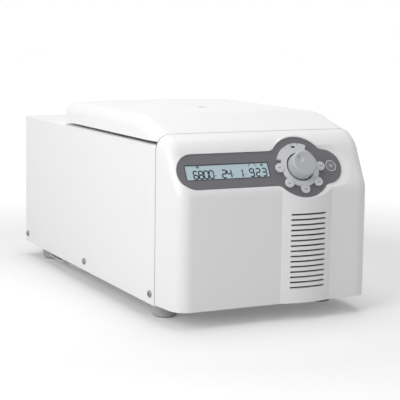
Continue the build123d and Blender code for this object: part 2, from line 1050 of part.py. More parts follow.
# Dial: a round knob with a finger dimple and a soft edge
dial_foot = panel_top + dial_travel + fit_gap
with BuildPart() as knob:
    with BuildSketch(face.offset(dial_foot)):
        with Locations(dial_point):
            Circle(dial_radius)
    extrude(amount=dial_top - dial_foot, taper=dial_draft)
    fillet(knob.faces().sort_by(face_axis)[-1].edges(), dial_edge)
    with BuildSketch(face.offset(dial_foot)):
        with Locations(dial_point):
            Circle(encoder_shaft_radius)
    extrude(amount=dial_top - dial_roof - dial_foot, mode=Mode.SUBTRACT)
    dimple_sphere = (dial_dimple_radius**2 + dial_dimple_depth**2) / (2 * dial_dimple_depth)
    with Locations(face.offset(dial_top + dimple_sphere - dial_dimple_depth)):
        with Locations((dial_x + dial_dimple_x, dial_y + dial_dimple_y)):
            Sphere(dimple_sphere, mode=Mode.SUBTRACT)
save(knob.part, "knob")


def lid_section(y, height, crown, inset):
    """Cross-section of the lid at one depth: straight sides, round shoulders, crowned roof."""
    half = half_width - inset
    radius = lid_side_radius - inset
    low = lid_bottom - 2 * lid_side_radius
    slope = radians(crown)
    # The shoulder arc ends where the crown of the roof starts, in the same direction.
    edge_x = half - radius + radius * sin(slope)
    edge_z = height - inset - edge_x * tan(slope / 2)
    centre_z = edge_z - radius * cos(slope)
    mid_angle = radians(90 - crown) / 2
    mid_x = half - radius + radius * cos(mid_angle)
    mid_z = centre_z + radius * sin(mid_angle)
    with BuildSketch(Plane.XZ.offset(-y)) as section:
        with BuildLine():
            Polyline((-half, centre_z), (-half, low), (half, low), (half, centre_z))
            ThreePointArc((half, centre_z), (mid_x, mid_z), (edge_x, edge_z))
            ThreePointArc((edge_x, edge_z), (0, height - inset), (-edge_x, edge_z))
            ThreePointArc((-edge_x, edge_z), (-mid_x, mid_z), (-half, centre_z))
        make_face()
    return section.sketch


def lid_form(inset):
    """Outer form of the lid, drawn in by inset: a stepped front and an even rear half."""
    front = case_front + inset
    even_y = lid_stations[-1][0]
    sections = [lid_section(front, cover_seam_top, lid_seam_crown, inset)]
    for y, height, crown in lid_stations:
        sections.append(lid_section(y, height, crown, inset))
    back = lid_rear - inset
    roll = lid_rear_radius - inset
    tall = lid_top + lid_side_radius
    with BuildPart() as form:
        for section in sections:
            add(section)
        loft()
        extrude(sections[-1], amount=back - even_y, dir=(0, 1, 0))
        with BuildSketch(Plane.XY.offset(lid_bottom - 3 * lid_side_radius)) as plan:
            with Locations((0, (front + back) / 2)):
                Rectangle(body_width, back - front)
            fillet(plan.vertices().group_by(Axis.Y)[-1], roll)
        extrude(amount=tall, mode=Mode.INTERSECT)
        with BuildSketch(Plane.YZ.offset(-body_width)) as side_view:
            with Locations(((front + back) / 2, lid_top - inset)):
                Rectangle(back - front, tall, align=(Align.CENTER, Align.MAX))
            fillet(side_view.vertices().sort_by_distance((back, lid_top))[0], roll)
        extrude(amount=2 * body_width, mode=Mode.INTERSECT)
        if inset == 0:
            split(bisect_by=Plane.XY.offset(lid_bottom), keep=Keep.TOP)
    return form.part


lid_outer = lid_form(0)
lid_inner = lid_form(lid_wall)

# Lid: one moulded shell with a stepped front, a shallow dish and a small viewing port
with BuildPart() as lid_shell:
    add(lid_outer)
    add(lid_inner, mode=Mode.SUBTRACT)
    with BuildSketch(Plane.XY.offset(liner_bottom + liner_thickness)):
        with Locations(*[(s * lid_boss_x, y) for s in (-1, 1) for y in lid_boss_y]):
            Circle(lid_boss_radius)
    extrude(amount=lid_boss_top - liner_bottom - liner_thickness)
    dish_sphere = (port_dish_radius**2 + port_dish_depth**2) / (2 * port_dish_depth)
    with Locations((port_x, port_y, lid_top + dish_sphere - port_dish_depth)):
        Sphere(dish_sphere, mode=Mode.SUBTRACT)
    with BuildSketch(Plane.XY.offset(lid_top - 3 * lid_wall)):
        with Locations((port_x, port_y)):
            Circle(port_lens_flange + lid_wall)
    extrude(amount=3 * lid_wall - port_dish_depth)
    with BuildSketch(Plane.XY.offset(lid_top - 4 * lid_wall)):
        with Locations((port_x, port_y)):
            Circle(port_lens_radius + touch_gap)
    extrude(amount=4 * lid_wall, mode=Mode.SUBTRACT)
    for side in (-1, 1):
        with BuildSketch(Plane.XY.offset(lid_bottom - lid_wall)):
            with Locations((side * hinge_x, lid_rear - lid_wall / 2)):
                Rectangle(hinge_notch_width, 2 * lid_wall)
        extrude(amount=hinge_notch_top - lid_bottom + lid_wall, mode=Mode.SUBTRACT)
save(lid_shell.part, "lid_shell")

# Clear lens in the port, let in from below
with BuildPart() as lid_port_lens:
    with BuildSketch(Plane.XY.offset(lid_top - 3 * lid_wall - lens_flange_thickness)):
        with Locations((port_x, port_y)):
            Circle(port_lens_flange)
    extrude(amount=lens_flange_thickness)
    with BuildSketch(Plane.XY.offset(lid_top - 3 * lid_wall)):
        with Locations((port_x, port_y)):
            Circle(port_lens_radius)
    extrude(amount=3 * lid_wall - port_dish_depth - lens_sink)
    fillet(lid_port_lens.faces().sort_by(Axis.Z)[-1].edges(), lens_edge)
save(lid_port_lens.part, "lid_port_lens")

# Lid liner: the inner plate, with a ring that meets the chamber seal
liner_top = liner_bottom + liner_thickness
with BuildPart() as lid_liner:
    with BuildSketch(Plane.XY.offset(liner_bottom)):
        with Locations((0, (liner_front + liner_rear) / 2)):
            RectangleRounded(2 * liner_half_width, liner_rear - liner_front, liner_corner)
    extrude(amount=liner_thickness)
    with BuildSketch(Plane.XY.offset(liner_top)):
        with Locations((port_x, chamber_y)):
            Circle(bowl_flange_radius)
            Circle(bowl_flange_radius - liner_thickness, mode=Mode.SUBTRACT)
    extrude(amount=liner_rib_height)
    with BuildSketch(Plane.XY.offset(liner_bottom)):
        with Locations((port_x, port_y)):
            Circle(port_lens_radius)
    extrude(amount=liner_thickness, mode=Mode.SUBTRACT)
save(lid_liner.part, "lid_liner")

# Hinge brackets on the case top, one pair of lid arms and their pins
hinge_sides = (-hinge_x, hinge_x)
knuckle_bore = hinge_pin_radius + shaft_clearance
with BuildPart() as hinge_brackets:
    for x in hinge_sides:
        with BuildSketch(Plane.XY.offset(case_top)):
            with Locations((x, hinge_y)):
                RectangleRounded(hinge_foot_width, hinge_foot_length, hinge_foot_thickness)
        extrude(amount=hinge_foot_thickness)
        with BuildSketch(Plane.YZ.offset(x - hinge_knuckle_width / 2)):
            with Locations((hinge_y, hinge_z)):
                Circle(hinge_knuckle_radius)
                Rectangle(
                    2 * hinge_knuckle_radius,
                    hinge_z - case_top,
                    align=(Align.CENTER, Align.MAX),
                )
        extrude(amount=hinge_knuckle_width)
        with BuildSketch(Plane.YZ.offset(x - hinge_knuckle_width)):
            with Locations((hinge_y, hinge_z)):
                Circle(hinge_pin_radius)
        extrude(amount=2 * hinge_knuckle_width, mode=Mode.SUBTRACT)
save(hinge_brackets.part, "hinge_brackets")

pin_half_length = hinge_knuckle_width / 2 + hinge_side_gap + hinge_cheek_thickness + 1
with BuildPart() as hinge_pins:
    for x in hinge_sides:
        with BuildSketch(Plane.YZ.offset(x - pin_half_length)):
            with Locations((hinge_y, hinge_z)):
                Circle(hinge_pin_radius)
        extrude(amount=2 * pin_half_length)
save(hinge_pins.part, "hinge_pins")

cheek_offset = hinge_knuckle_width / 2 + hinge_side_gap
with BuildPart() as hinge_arms:
    for x in hinge_sides:
        for start in (x - cheek_offset - hinge_cheek_thickness, x + cheek_offset):
            with BuildSketch(Plane.YZ.offset(start)):
                with Locations((hinge_y, hinge_z)):
                    Circle(hinge_cheek_radius)
                with BuildLine():
                    Polyline(
                        (hinge_arm_front, liner_top),
                        (liner_rear + touch_gap, liner_top),
                        (hinge_y, hinge_z - hinge_pin_radius),
                        (hinge_y, hinge_z + hinge_cheek_radius),
                        (hinge_arm_front, hinge_z + hinge_cheek_radius / 2),
                        close=True,
                    )
                make_face()
                with Locations((hinge_y, hinge_z)):
                    Circle(knuckle_bore, mode=Mode.SUBTRACT)
            extrude(amount=hinge_cheek_thickness)
        with BuildSketch(Plane.XY.offset(liner_top)):
            with Locations((x, (hinge_arm_front + hinge_arm_back) / 2)):
                Rectangle(hinge_foot_width, hinge_arm_back - hinge_arm_front)
        extrude(amount=hinge_foot_thickness)
save(hinge_arms.part, "hinge_arms")

# Striker: a bail under the front of the lid that the lock hook holds
with BuildPart() as lid_striker:
    with BuildSketch(Plane.XY.offset(liner_bottom - striker_plate_thickness)):
        with Locations((0, striker_y)):
            RectangleRounded(striker_plate_width, striker_plate_depth, striker_radius)
    extrude(amount=striker_plate_thickness)
    with BuildSketch(Plane.XY.offset(striker_z)):
        with Locations((-striker_half_width, striker_y), (striker_half_width, striker_y)):
            Circle(striker_radius)
    extrude(amount=liner_bottom - striker_plate_thickness - striker_z)
    with BuildSketch(Plane.YZ.offset(-striker_half_width)):
        with Locations((striker_y, striker_z)):
            Circle(striker_radius)
    extrude(amount=2 * striker_half_width)
    with Locations(
        (-striker_half_width, striker_y, striker_z),
        (striker_half_width, striker_y, striker_z),
    ):
        Sphere(striker_radius)
save(lid_striker.part, "lid_striker")

# Deck around the chamber, hung under the case opening
bowl_outer = bowl_radius + bowl_wall
deck_flange_top = case_top - sheet - touch_gap
deck_bottom = deck_flange_top - deck_thickness
deck_rear = deck_opening_rear + deck_flange_overlap
with BuildPart() as top_deck:
    with BuildSketch(Plane.XY.offset(deck_bottom)):
        with Locations((0, (case_front + deck_rear) / 2)):
            Rectangle(
                2 * (deck_opening_half_width + deck_flange_overlap),
                deck_rear - case_front,
            )
    extrude(amount=deck_thickness)
    with BuildSketch(Plane.XY.offset(deck_bottom)):
        with Locations((0, (case_front + deck_opening_rear) / 2)):
            Rectangle(
                2 * (deck_opening_half_width - fit_gap),
                deck_opening_rear - case_front - 2 * fit_gap,
            )
    extrude(amount=case_top - deck_bottom)
    with BuildSketch(Plane.XY.offset(deck_bottom)):
        with Locations((0, chamber_y)):
            Circle(bowl_flange_radius + fit_gap + deck_collar_width)
    extrude(amount=deck_collar_top - deck_bottom)
    with BuildSketch(Plane.XY.offset(case_top)):
        with Locations((0, chamber_y)):
            Circle(bowl_flange_radius + fit_gap)
    extrude(amount=deck_collar_top, mode=Mode.SUBTRACT)
    with BuildSketch(Plane.XY.offset(deck_bottom)):
        with Locations((0, chamber_y)):
            Circle(bowl_outer + fit_gap)
        with Locations((0, striker_y)):
            Rectangle(
                2 * (striker_half_width + 2 * striker_radius),
                striker_slot_length,
            )
    extrude(amount=deck_collar_top, mode=Mode.SUBTRACT)
save(top_deck.part, "top_deck")

# Chamber bowl: drawn stainless sheet with a flange that rests on the deck
chamber_axis = Axis((0, chamber_y, 0), (0, 0, 1))
chamber_section = Plane(origin=(0, chamber_y, 0), x_dir=(1, 0, 0), z_dir=(0, -1, 0))
with BuildPart() as chamber_bowl:
    with BuildSketch(chamber_section):
        with BuildLine():
            bowl_path = FilletPolyline(
                (bowl_hole_radius, bowl_floor),
                (bowl_radius, bowl_floor),
                (bowl_radius, case_top + bowl_wall),
                (bowl_flange_radius, case_top + bowl_wall),
                radius=(bowl_floor_radius, bowl_wall),
            )
            offset(bowl_path, amount=bowl_wall, side=Side.RIGHT)
        make_face()
    revolve(axis=chamber_axis)
save(chamber_bowl.part, "chamber_bowl")

# Seal: a rubber ring on the bowl flange with a soft rounded top
seal_foot = case_top + bowl_wall
seal_crest = liner_bottom - fit_gap
with BuildPart() as chamber_seal:
    with BuildSketch(chamber_section) as seal_section:
        with Locations(((seal_inner_radius + bowl_flange_radius) / 2, seal_foot)):
            Rectangle(
                bowl_flange_radius - seal_inner_radius,
                seal_crest - seal_foot,
                align=(Align.CENTER, Align.MIN),
            )
        fillet(seal_section.vertices().group_by(Axis.Z)[-1], seal_round)
    revolve(axis=chamber_axis)
save(chamber_seal.part, "chamber_seal")

# Evaporator: one copper tube wound round the bowl
coil_radius = bowl_outer + coil_tube_radius + fit_gap
coil_height = coil_turns * coil_pitch
with BuildPart() as evaporator_coil:
    with BuildLine(Plane(origin=(0, chamber_y, coil_first_z))) as coil_line:
        Helix(coil_pitch, coil_height, coil_radius)
    with BuildSketch(
        Plane(origin=coil_line.line @ 0, z_dir=coil_line.line % 0),
    ):
        Circle(coil_tube_radius)
    sweep(path=coil_line.line, is_frenet=True)
save(evaporator_coil.part, "evaporator_coil")
print("gap between coil turns", coil_pitch - 2 * coil_tube_radius)

lock_front = lock_y - lock_length / 3

# Insulation: a foam block around the bowl and its coil
coil_room = coil_radius + coil_tube_radius + fit_gap
with BuildPart() as insulation:
    with BuildSketch(Plane.XY.offset(insulation_bottom)):
        with Locations((0, (insulation_front + insulation_rear) / 2)):
            RectangleRounded(
                2 * insulation_half_width,
                insulation_rear - insulation_front,
                liner_corner,
            )
    extrude(amount=deck_bottom - fit_gap - insulation_bottom)
    with BuildSketch(Plane.XY.offset(bowl_floor - bowl_wall - fit_gap)):
        with Locations((0, chamber_y)):
            Circle(coil_room)
    extrude(amount=case_top, mode=Mode.SUBTRACT)
    with BuildSketch(Plane.XY.offset(insulation_bottom)):
        with Locations((0, chamber_y)):
            Circle(bowl_hole_radius)
    extrude(amount=case_top, mode=Mode.SUBTRACT)
    with BuildSketch(Plane.XY.offset(lock_bottom - fit_gap)):
        with Locations((0, lock_front + lock_length + fit_gap)):
            Rectangle(
                lock_width + 2 * fit_gap,
                2 * lock_length,
                align=(Align.CENTER, Align.MAX),
            )
    extrude(amount=case_top, mode=Mode.SUBTRACT)
save(insulation.part, "insulation")

# Motor on a plate with four rubber mounts
mount_points = [
    (
        mount_circle_radius * cos(radians(angle)),
        chamber_y + mount_circle_radius * sin(radians(angle)),
    )
    for angle in mount_angles
]
with BuildPart() as motor_mounts:
    with BuildSketch(Plane.XY.offset(base_top)):
        with Locations(*mount_points):
            Circle(mount_radius)
    extrude(amount=motor_plate_bottom - base_top)
    with BuildSketch(Plane.XY.offset((base_top + motor_plate_bottom) / 2)):
        with Locations(*mount_points):
            Circle(2 * mount_radius)
            Circle(mount_radius - mount_waist, mode=Mode.SUBTRACT)
    extrude(amount=mount_waist, both=True, mode=Mode.SUBTRACT)
save(motor_mounts.part, "motor_mounts")

motor_foot = motor_plate_bottom + motor_plate_thickness
with BuildPart() as motor_plate:
    with BuildSketch(Plane.XY.offset(motor_plate_bottom)):
        with Locations((0, chamber_y)):
            Circle(motor_plate_radius)
            Circle(shaft_radius + motor_plate_thickness, mode=Mode.SUBTRACT)
    extrude(amount=motor_plate_thickness)
save(motor_plate.part, "motor_plate")

with BuildPart() as motor:
    with BuildSketch(Plane.XY.offset(motor_foot)):
        with Locations((0, chamber_y)):
            Circle(motor_radius)
    extrude(amount=motor_top - motor_foot)
    chamfer(motor.edges().group_by(Axis.Z)[-1], motor_plate_thickness)
    with BuildSketch(Plane.XY.offset(motor_foot)):
        with Locations((0, chamber_y)):
            Circle(motor_boss_radius)
    extrude(amount=motor_boss_top - motor_foot)
    with BuildSketch(Plane.XY.offset(shaft_bottom)):
        with Locations((0, chamber_y)):
            Circle(shaft_radius + shaft_clearance)
    extrude(amount=case_top, mode=Mode.SUBTRACT)
    with BuildSketch(Plane.XY.offset(motor_foot)):
        with Locations((0, chamber_y)):
            with PolarLocations(motor_radius, motor_rib_count):
                Rectangle(motor_rib, motor_rib)
    extrude(amount=(motor_top - motor_foot) / 2)
save(motor.part, "motor")

with BuildPart() as motor_shaft:
    with BuildSketch(Plane.XY.offset(shaft_bottom + fit_gap)):
        with Locations((0, chamber_y)):
            Circle(shaft_radius)
    extrude(amount=shaft_top - shaft_bottom - fit_gap)
save(motor_shaft.part, "motor_shaft")

# Fixed angle rotor with a ring of tilted tube pockets, its lid and its nut
with BuildPart() as rotor:
    with BuildSketch(chamber_section):
        with BuildLine():
            Polyline(
                (shaft_radius, rotor_bottom),
                (rotor_hub_radius, rotor_bottom),
                (rotor_radius, rotor_top - rotor_rim_height),
                (rotor_radius, rotor_top),
                (rotor_lid_radius + fit_gap, rotor_top),
                (rotor_lid_radius + fit_gap, rotor_top - rotor_lid_thickness),
                (rotor_well_radius, rotor_top - rotor_lid_thickness),
                (rotor_hub_radius, rotor_top - rotor_well_depth),
                (rotor_hub_radius, rotor_top),
                (shaft_radius, rotor_top),
                close=True,
            )
        make_face()
    revolve(axis=chamber_axis)
    for index in range(tube_count):
        turn = 360 * index / tube_count
        aim = Location((0, chamber_y, 0), (0, 0, turn))
        mouth = Plane(
            origin=(tube_circle_radius, 0, rotor_top - rotor_lid_thickness - rotor_well_depth / 2),
            z_dir=(-sin(radians(tube_tilt)), 0, cos(radians(tube_tilt))),
        )
        with Locations(aim * mouth.location):
            Cylinder(
                tube_radius,
                tube_depth,
                align=(Align.CENTER, Align.CENTER, Align.MAX),
                mode=Mode.SUBTRACT,
            )
            Cylinder(
                tube_radius,
                tube_radius,
                align=(Align.CENTER, Align.CENTER, Align.MIN),
                mode=Mode.SUBTRACT,
            )
save(rotor.part, "rotor")

lid_seat = rotor_top - rotor_lid_thickness
with BuildPart() as rotor_lid:
    with BuildSketch(Plane.XY.offset(rotor_top)):
        with Locations((0, chamber_y)):
            Circle(rotor_lid_radius)
            Circle(shaft_radius + fit_gap, mode=Mode.SUBTRACT)
    extrude(amount=rotor_lid_thickness)
    fillet(rotor_lid.edges().group_by(Axis.Z)[-1].sort_by(SortBy.RADIUS)[-1], seal_round)
    with BuildSketch(Plane.XY.offset(lid_seat)):
        with Locations((0, chamber_y)):
            Circle(rotor_lid_radius)
            Circle(rotor_well_radius, mode=Mode.SUBTRACT)
    extrude(amount=rotor_lid_thickness)
save(rotor_lid.part, "rotor_lid")

nut_foot = rotor_top + rotor_lid_thickness
with BuildPart() as rotor_nut:
    with BuildSketch(Plane.XY.offset(nut_foot)):
        with Locations((0, chamber_y)):
            Circle(rotor_nut_radius)
            with PolarLocations(rotor_nut_radius, nut_grip_count):
                Circle(nut_grip_radius, mode=Mode.SUBTRACT)
    extrude(amount=rotor_nut_height)
    with BuildSketch(Plane.XY.offset(nut_foot)):
        with Locations((0, chamber_y)):
            Circle(shaft_radius)
    extrude(amount=shaft_top - nut_foot, mode=Mode.SUBTRACT)
save(rotor_nut.part, "rotor_nut")

# Lock: a housing under the deck, a hook on a pin and the pin
lock_inner = lock_width / 2 - lock_wall
lock_top = deck_bottom - touch_gap
with BuildPart() as lock_housing:
    with BuildSketch(Plane.XY.offset(lock_bottom)):
        with Locations((0, lock_front + lock_length / 2)):
            Rectangle(lock_width, lock_length)
    extrude(amount=lock_top - lock_bottom)
    with BuildSketch(Plane.XY.offset(lock_bottom + lock_wall)):
        with Locations((0, lock_front + lock_length / 2)):
            Rectangle(2 * lock_inner, 2 * lock_length)
    extrude(amount=lock_top, mode=Mode.SUBTRACT)
    with BuildSketch(Plane.YZ.offset(-lock_width / 2)):
        with Locations((lock_y, lock_z)):
            Circle(lock_pin_radius)
    extrude(amount=lock_width)
save(lock_housing.part, "lock_housing")

bail_y = striker_y - lock_y
bail_z = striker_z - lock_z
swing = radians(hook_swing)
hook_plane = Plane(
    origin=(-hook_width / 2, lock_y, lock_z),
    x_dir=(0, cos(swing), sin(swing)),
    z_dir=(1, 0, 0),
)
nose_foot = bail_z + striker_radius + hook_nose_gap
with BuildPart() as latch_hook:
    with BuildSketch(hook_plane):
        Circle(hook_arm)
        with BuildLine():
            Polyline(
                (-hook_arm, 0),
                (-hook_arm, nose_foot + hook_arm),
                (bail_y + striker_radius, nose_foot + hook_arm),
                (bail_y + striker_radius, nose_foot),
                (hook_arm / 2, nose_foot),
                (hook_arm, 0),
                close=True,
            )
        make_face()
        Circle(lock_pin_radius + shaft_clearance, mode=Mode.SUBTRACT)
    extrude(amount=hook_width)
save(latch_hook.part, "latch_hook")

# Compressor: a welded steel pot on a foot plate with four rubber mounts
compressor_middle = (compressor_x, compressor_y)
compressor_axis = Axis((compressor_x, compressor_y, 0), (0, 0, 1))
compressor_section = Plane(
    origin=(compressor_x, compressor_y, 0),
    x_dir=(1, 0, 0),
    z_dir=(0, -1, 0),
)
grid = compressor_plate_size - 2 * mount_radius
with BuildPart() as compressor:
    with BuildSketch(compressor_section) as pot:
        with Locations((0, (compressor_bottom + compressor_top) / 2)):
            Rectangle(2 * compressor_radius, compressor_top - compressor_bottom)
        fillet(pot.vertices(), compressor_dome)
        with Locations((0, (compressor_bottom + compressor_top) / 2)):
            Rectangle(
                2 * compressor_radius + 2 * compressor_seam,
                compressor_seam,
            )
        with Locations((0, (compressor_bottom + compressor_top) / 2)):
            Rectangle(
                body_width,
                body_width,
                align=(Align.MIN, Align.CENTER),
                mode=Mode.INTERSECT,
            )
    revolve(axis=compressor_axis)
    with BuildSketch(Plane.XY.offset(compressor_bottom)):
        with Locations(compressor_middle):
            RectangleRounded(compressor_plate_size, compressor_plate_size, mount_radius)
            with GridLocations(grid, grid, 2, 2):
                Circle(mount_radius / 2 + fit_gap, mode=Mode.SUBTRACT)
    extrude(amount=compressor_plate_thickness)
save(compressor.part, "compressor")

with BuildPart() as compressor_mounts:
    with BuildSketch(Plane.XY.offset(base_top)):
        with Locations(compressor_middle):
            with GridLocations(grid, grid, 2, 2):
                Circle(mount_radius)
    extrude(amount=compressor_bottom - base_top)
    with BuildSketch(Plane.XY.offset(base_top)):
        with Locations(compressor_middle):
            with GridLocations(grid, grid, 2, 2):
                Circle(mount_radius / 2)
    extrude(amount=compressor_bottom - base_top + 2 * compressor_plate_thickness)
save(compressor_mounts.part, "compressor_mounts")

# Rear panel: a sheet with the fan opening, louvre slots and cut-outs for the mains parts
panel_front = rear_face - sheet
with BuildPart() as rear_panel:
    with BuildSketch(Plane.XZ.offset(-rear_face)):
        with Locations((0, (base_top + deck_flange_top) / 2)):
            RectangleRounded(
                2 * (base_half_width - fit_gap),
                deck_flange_top - base_top - 2 * fit_gap,
                case_bend_radius,
            )
        with Locations((fan_x, fan_z)):
            Circle(fan_opening_radius, mode=Mode.SUBTRACT)
        with Locations(*rear_screw_points):
            Circle(screw_hole, mode=Mode.SUBTRACT)
        with Locations((rear_slot_x, rear_slot_z)):
            with GridLocations(1, rear_slot_pitch, 1, rear_slot_count):
                SlotOverall(rear_slot_width, rear_slot_height, mode=Mode.SUBTRACT)
        with Locations((inlet_x, inlet_z)):
            Rectangle(
                inlet_body_width + 2 * touch_gap,
                inlet_body_height + 2 * touch_gap,
                mode=Mode.SUBTRACT,
            )
        with Locations((switch_x, switch_z)):
            Rectangle(
                switch_width + 2 * touch_gap,
                switch_tall + 2 * touch_gap,
                mode=Mode.SUBTRACT,
            )
    extrude(amount=sheet)
save(rear_panel.part, "rear_panel")

# Fan: a square frame with a hub carried by four struts, and seven blades on a shaft
frame_back = panel_front - touch_gap
frame_front = frame_back - fan_depth
hub_back = frame_back - strut_depth - fit_gap
hub_front = frame_front + strut_depth
fan_point = (fan_x, fan_z)
with BuildPart() as fan_housing:
    with BuildSketch(Plane.XZ.offset(-frame_back)):
        with Locations(fan_point):
            RectangleRounded(fan_size, fan_size, strut_depth)
            Circle(fan_opening_radius, mode=Mode.SUBTRACT)
    extrude(amount=fan_depth)
    with BuildSketch(Plane.XZ.offset(-frame_back)):
        with Locations(fan_point):
            Circle(fan_hub_radius)
            with PolarLocations((fan_hub_radius + fan_opening_radius) / 2, 4, start_angle=45):
                Rectangle(fan_opening_radius - fan_hub_radius + 2, strut_width)
    extrude(amount=strut_depth)
    with BuildSketch(Plane.XZ.offset(-frame_back)):
        with Locations(fan_point):
            Circle(fan_shaft_radius)
    extrude(amount=fan_depth - 2 * strut_depth)
save(fan_housing.part, "fan_housing")

with BuildPart() as blade:
    with BuildSketch(Plane.YZ.offset(fan_hub_radius - 1)):
        with BuildLine():
            Line((blade_chord / 2, -blade_chord / 2), (-blade_chord / 2, blade_chord / 2))
            offset(amount=blade_thickness / 2, side=Side.BOTH)
        make_face()
    extrude(amount=fan_blade_radius - fan_hub_radius)
with BuildPart() as fan_blades:
    with BuildSketch(Plane.XZ.offset(-hub_back)):
        with Locations(fan_point):
            Circle(fan_hub_radius)
    extrude(amount=hub_back - hub_front)
    middle_y = (hub_back + hub_front) / 2
    for index in range(fan_blades_count):
        turn = 360 * index / fan_blades_count
        with Locations(Location((fan_x, middle_y, fan_z), (0, turn, 0))):
            add(blade.part)
    with BuildSketch(Plane.XZ.offset(-hub_back)):
        with Locations(fan_point):
            Circle(fan_shaft_radius + shaft_clearance)
    extrude(amount=hub_back - hub_front - strut_depth, mode=Mode.SUBTRACT)
save(fan_blades.part, "fan_blades")

# Fan guard: wire rings on two crossed wires, on the rear panel
with BuildPart() as fan_guard:
    guard_y = rear_face + guard_wire_radius
    for radius in (*guard_rings, fan_opening_radius + guard_wire_radius):
        with BuildSketch(Plane(origin=(fan_x, guard_y, fan_z), x_dir=(1, 0, 0), z_dir=(0, 0, 1))):
            with Locations((radius, 0)):
                Circle(guard_wire_radius)
        revolve(axis=Axis((fan_x, guard_y, fan_z), (0, 1, 0)))
    for angle in guard_spoke_angles:
        wire = Plane(
            origin=(fan_x, guard_y, fan_z),
            z_dir=(cos(radians(angle)), 0, sin(radians(angle))),
        )
        with BuildSketch(wire):
            Circle(guard_spoke_radius)
        extrude(amount=fan_opening_radius, both=True)
save(fan_guard.part, "fan_guard")

# Condenser: fins on two end plates in front of the fan
condenser_back = frame_front - condenser_gap
condenser_front = condenser_back - condenser_depth
fin_count = int(condenser_width // condenser_fin_pitch)
with BuildPart() as condenser:
    with BuildSketch(Plane.XZ.offset(-condenser_back)):
        with Locations((fan_x, fan_z)):
            with GridLocations(condenser_fin_pitch, 1, fin_count, 1):
                Rectangle(condenser_fin, condenser_height)
    extrude(amount=condenser_depth)
    for row in range(condenser_rows):
        z = fan_z + (row - (condenser_rows - 1) / 2) * condenser_height / condenser_rows
        with BuildSketch(Plane.YZ.offset(fan_x - condenser_width / 2)):
            with Locations((condenser_front + condenser_depth / 2, z)):
                Circle(line_radius)
        extrude(amount=condenser_width)
    for side in (-1, 1):
        with BuildSketch(Plane.XY.offset(base_top + touch_gap)):
            with Locations(
                (
                    fan_x + side * (condenser_width / 2 - sheet / 2),
                    (condenser_front + condenser_back) / 2,
                )
            ):
                Rectangle(sheet, condenser_depth)
        extrude(amount=fan_z + condenser_height / 2 - base_top)
save(condenser.part, "condenser")

# Mains inlet: a socket with a shaped mouth, and its three pins
with BuildPart() as power_inlet:
    with BuildSketch(Plane.XZ.offset(-rear_face)):
        with Locations((inlet_x, inlet_z)):
            RectangleRounded(inlet_flange_width, inlet_flange_height, inlet_flange_thickness)
    extrude(amount=-inlet_flange_thickness)
    with BuildSketch(Plane.XZ.offset(-rear_face)):
        with Locations((inlet_x, inlet_z)):
            Rectangle(inlet_body_width, inlet_body_height)
    extrude(amount=inlet_depth)
    with BuildSketch(Plane.XZ.offset(-rear_face - inlet_flange_thickness)) as mouth:
        with Locations((inlet_x, inlet_z)):
            Rectangle(inlet_mouth_width, inlet_mouth_height)
        chamfer(mouth.vertices().group_by(Axis.Z)[-1], inlet_mouth_chamfer)
    extrude(amount=inlet_mouth_depth + inlet_flange_thickness, mode=Mode.SUBTRACT)
save(power_inlet.part, "power_inlet")

pin_root = rear_face - inlet_mouth_depth
with BuildPart() as inlet_pins:
    with BuildSketch(Plane.XZ.offset(-pin_root)):
        with Locations(
            (inlet_x - inlet_pin_spacing, inlet_z - inlet_pin_offset / 2),
            (inlet_x, inlet_z + inlet_pin_offset / 2),
            (inlet_x + inlet_pin_spacing, inlet_z - inlet_pin_offset / 2),
        ):
            Rectangle(inlet_pin_width, inlet_pin_height)
    extrude(amount=-inlet_pin_length)
save(inlet_pins.part, "inlet_pins")

# Mains switch: a framed body and a rocker that tips between two stops
with BuildPart() as switch_body:
    with BuildSketch(Plane.XZ.offset(-rear_face)):
        with Locations((switch_x, switch_z)):
            Rectangle(switch_width + switch_frame, switch_tall + switch_frame)
    extrude(amount=-switch_frame_thickness)
    with BuildSketch(Plane.XZ.offset(-rear_face)):
        with Locations((switch_x, switch_z)):
            Rectangle(switch_width, switch_tall)
    extrude(amount=switch_depth)
    with BuildSketch(Plane.XZ.offset(-rear_face - switch_frame_thickness)):
        with Locations((switch_x, switch_z)):
            Rectangle(switch_width - switch_frame, switch_tall - switch_frame)
    extrude(amount=switch_depth / 2 + switch_frame_thickness, mode=Mode.SUBTRACT)
save(switch_body.part, "switch_body")

rocker_y = rear_face - rocker_pivot_depth
tip = radians(rocker_swing / 2)
rocker_plane = Plane(
    origin=(switch_x - (switch_width - switch_frame) / 2 + fit_gap, rocker_y, switch_z),
    x_dir=(0, cos(tip), sin(tip)),
    z_dir=(1, 0, 0),
)
rocker_half = (switch_tall - switch_frame) / 2 - rocker_end_gap
with BuildPart() as power_rocker:
    with BuildSketch(rocker_plane):
        with BuildLine():
            Polyline(
                (rocker_crest, rocker_half),
                (-rocker_back, rocker_half / 2),
                (-rocker_back, -rocker_half / 2),
                (rocker_crest, -rocker_half),
            )
            ThreePointArc(
                (rocker_crest, -rocker_half),
                (rocker_crest - rocker_dish, 0),
                (rocker_crest, rocker_half),
            )
        make_face()
    extrude(amount=switch_width - switch_frame - 2 * fit_gap)
save(power_rocker.part, "power_rocker")

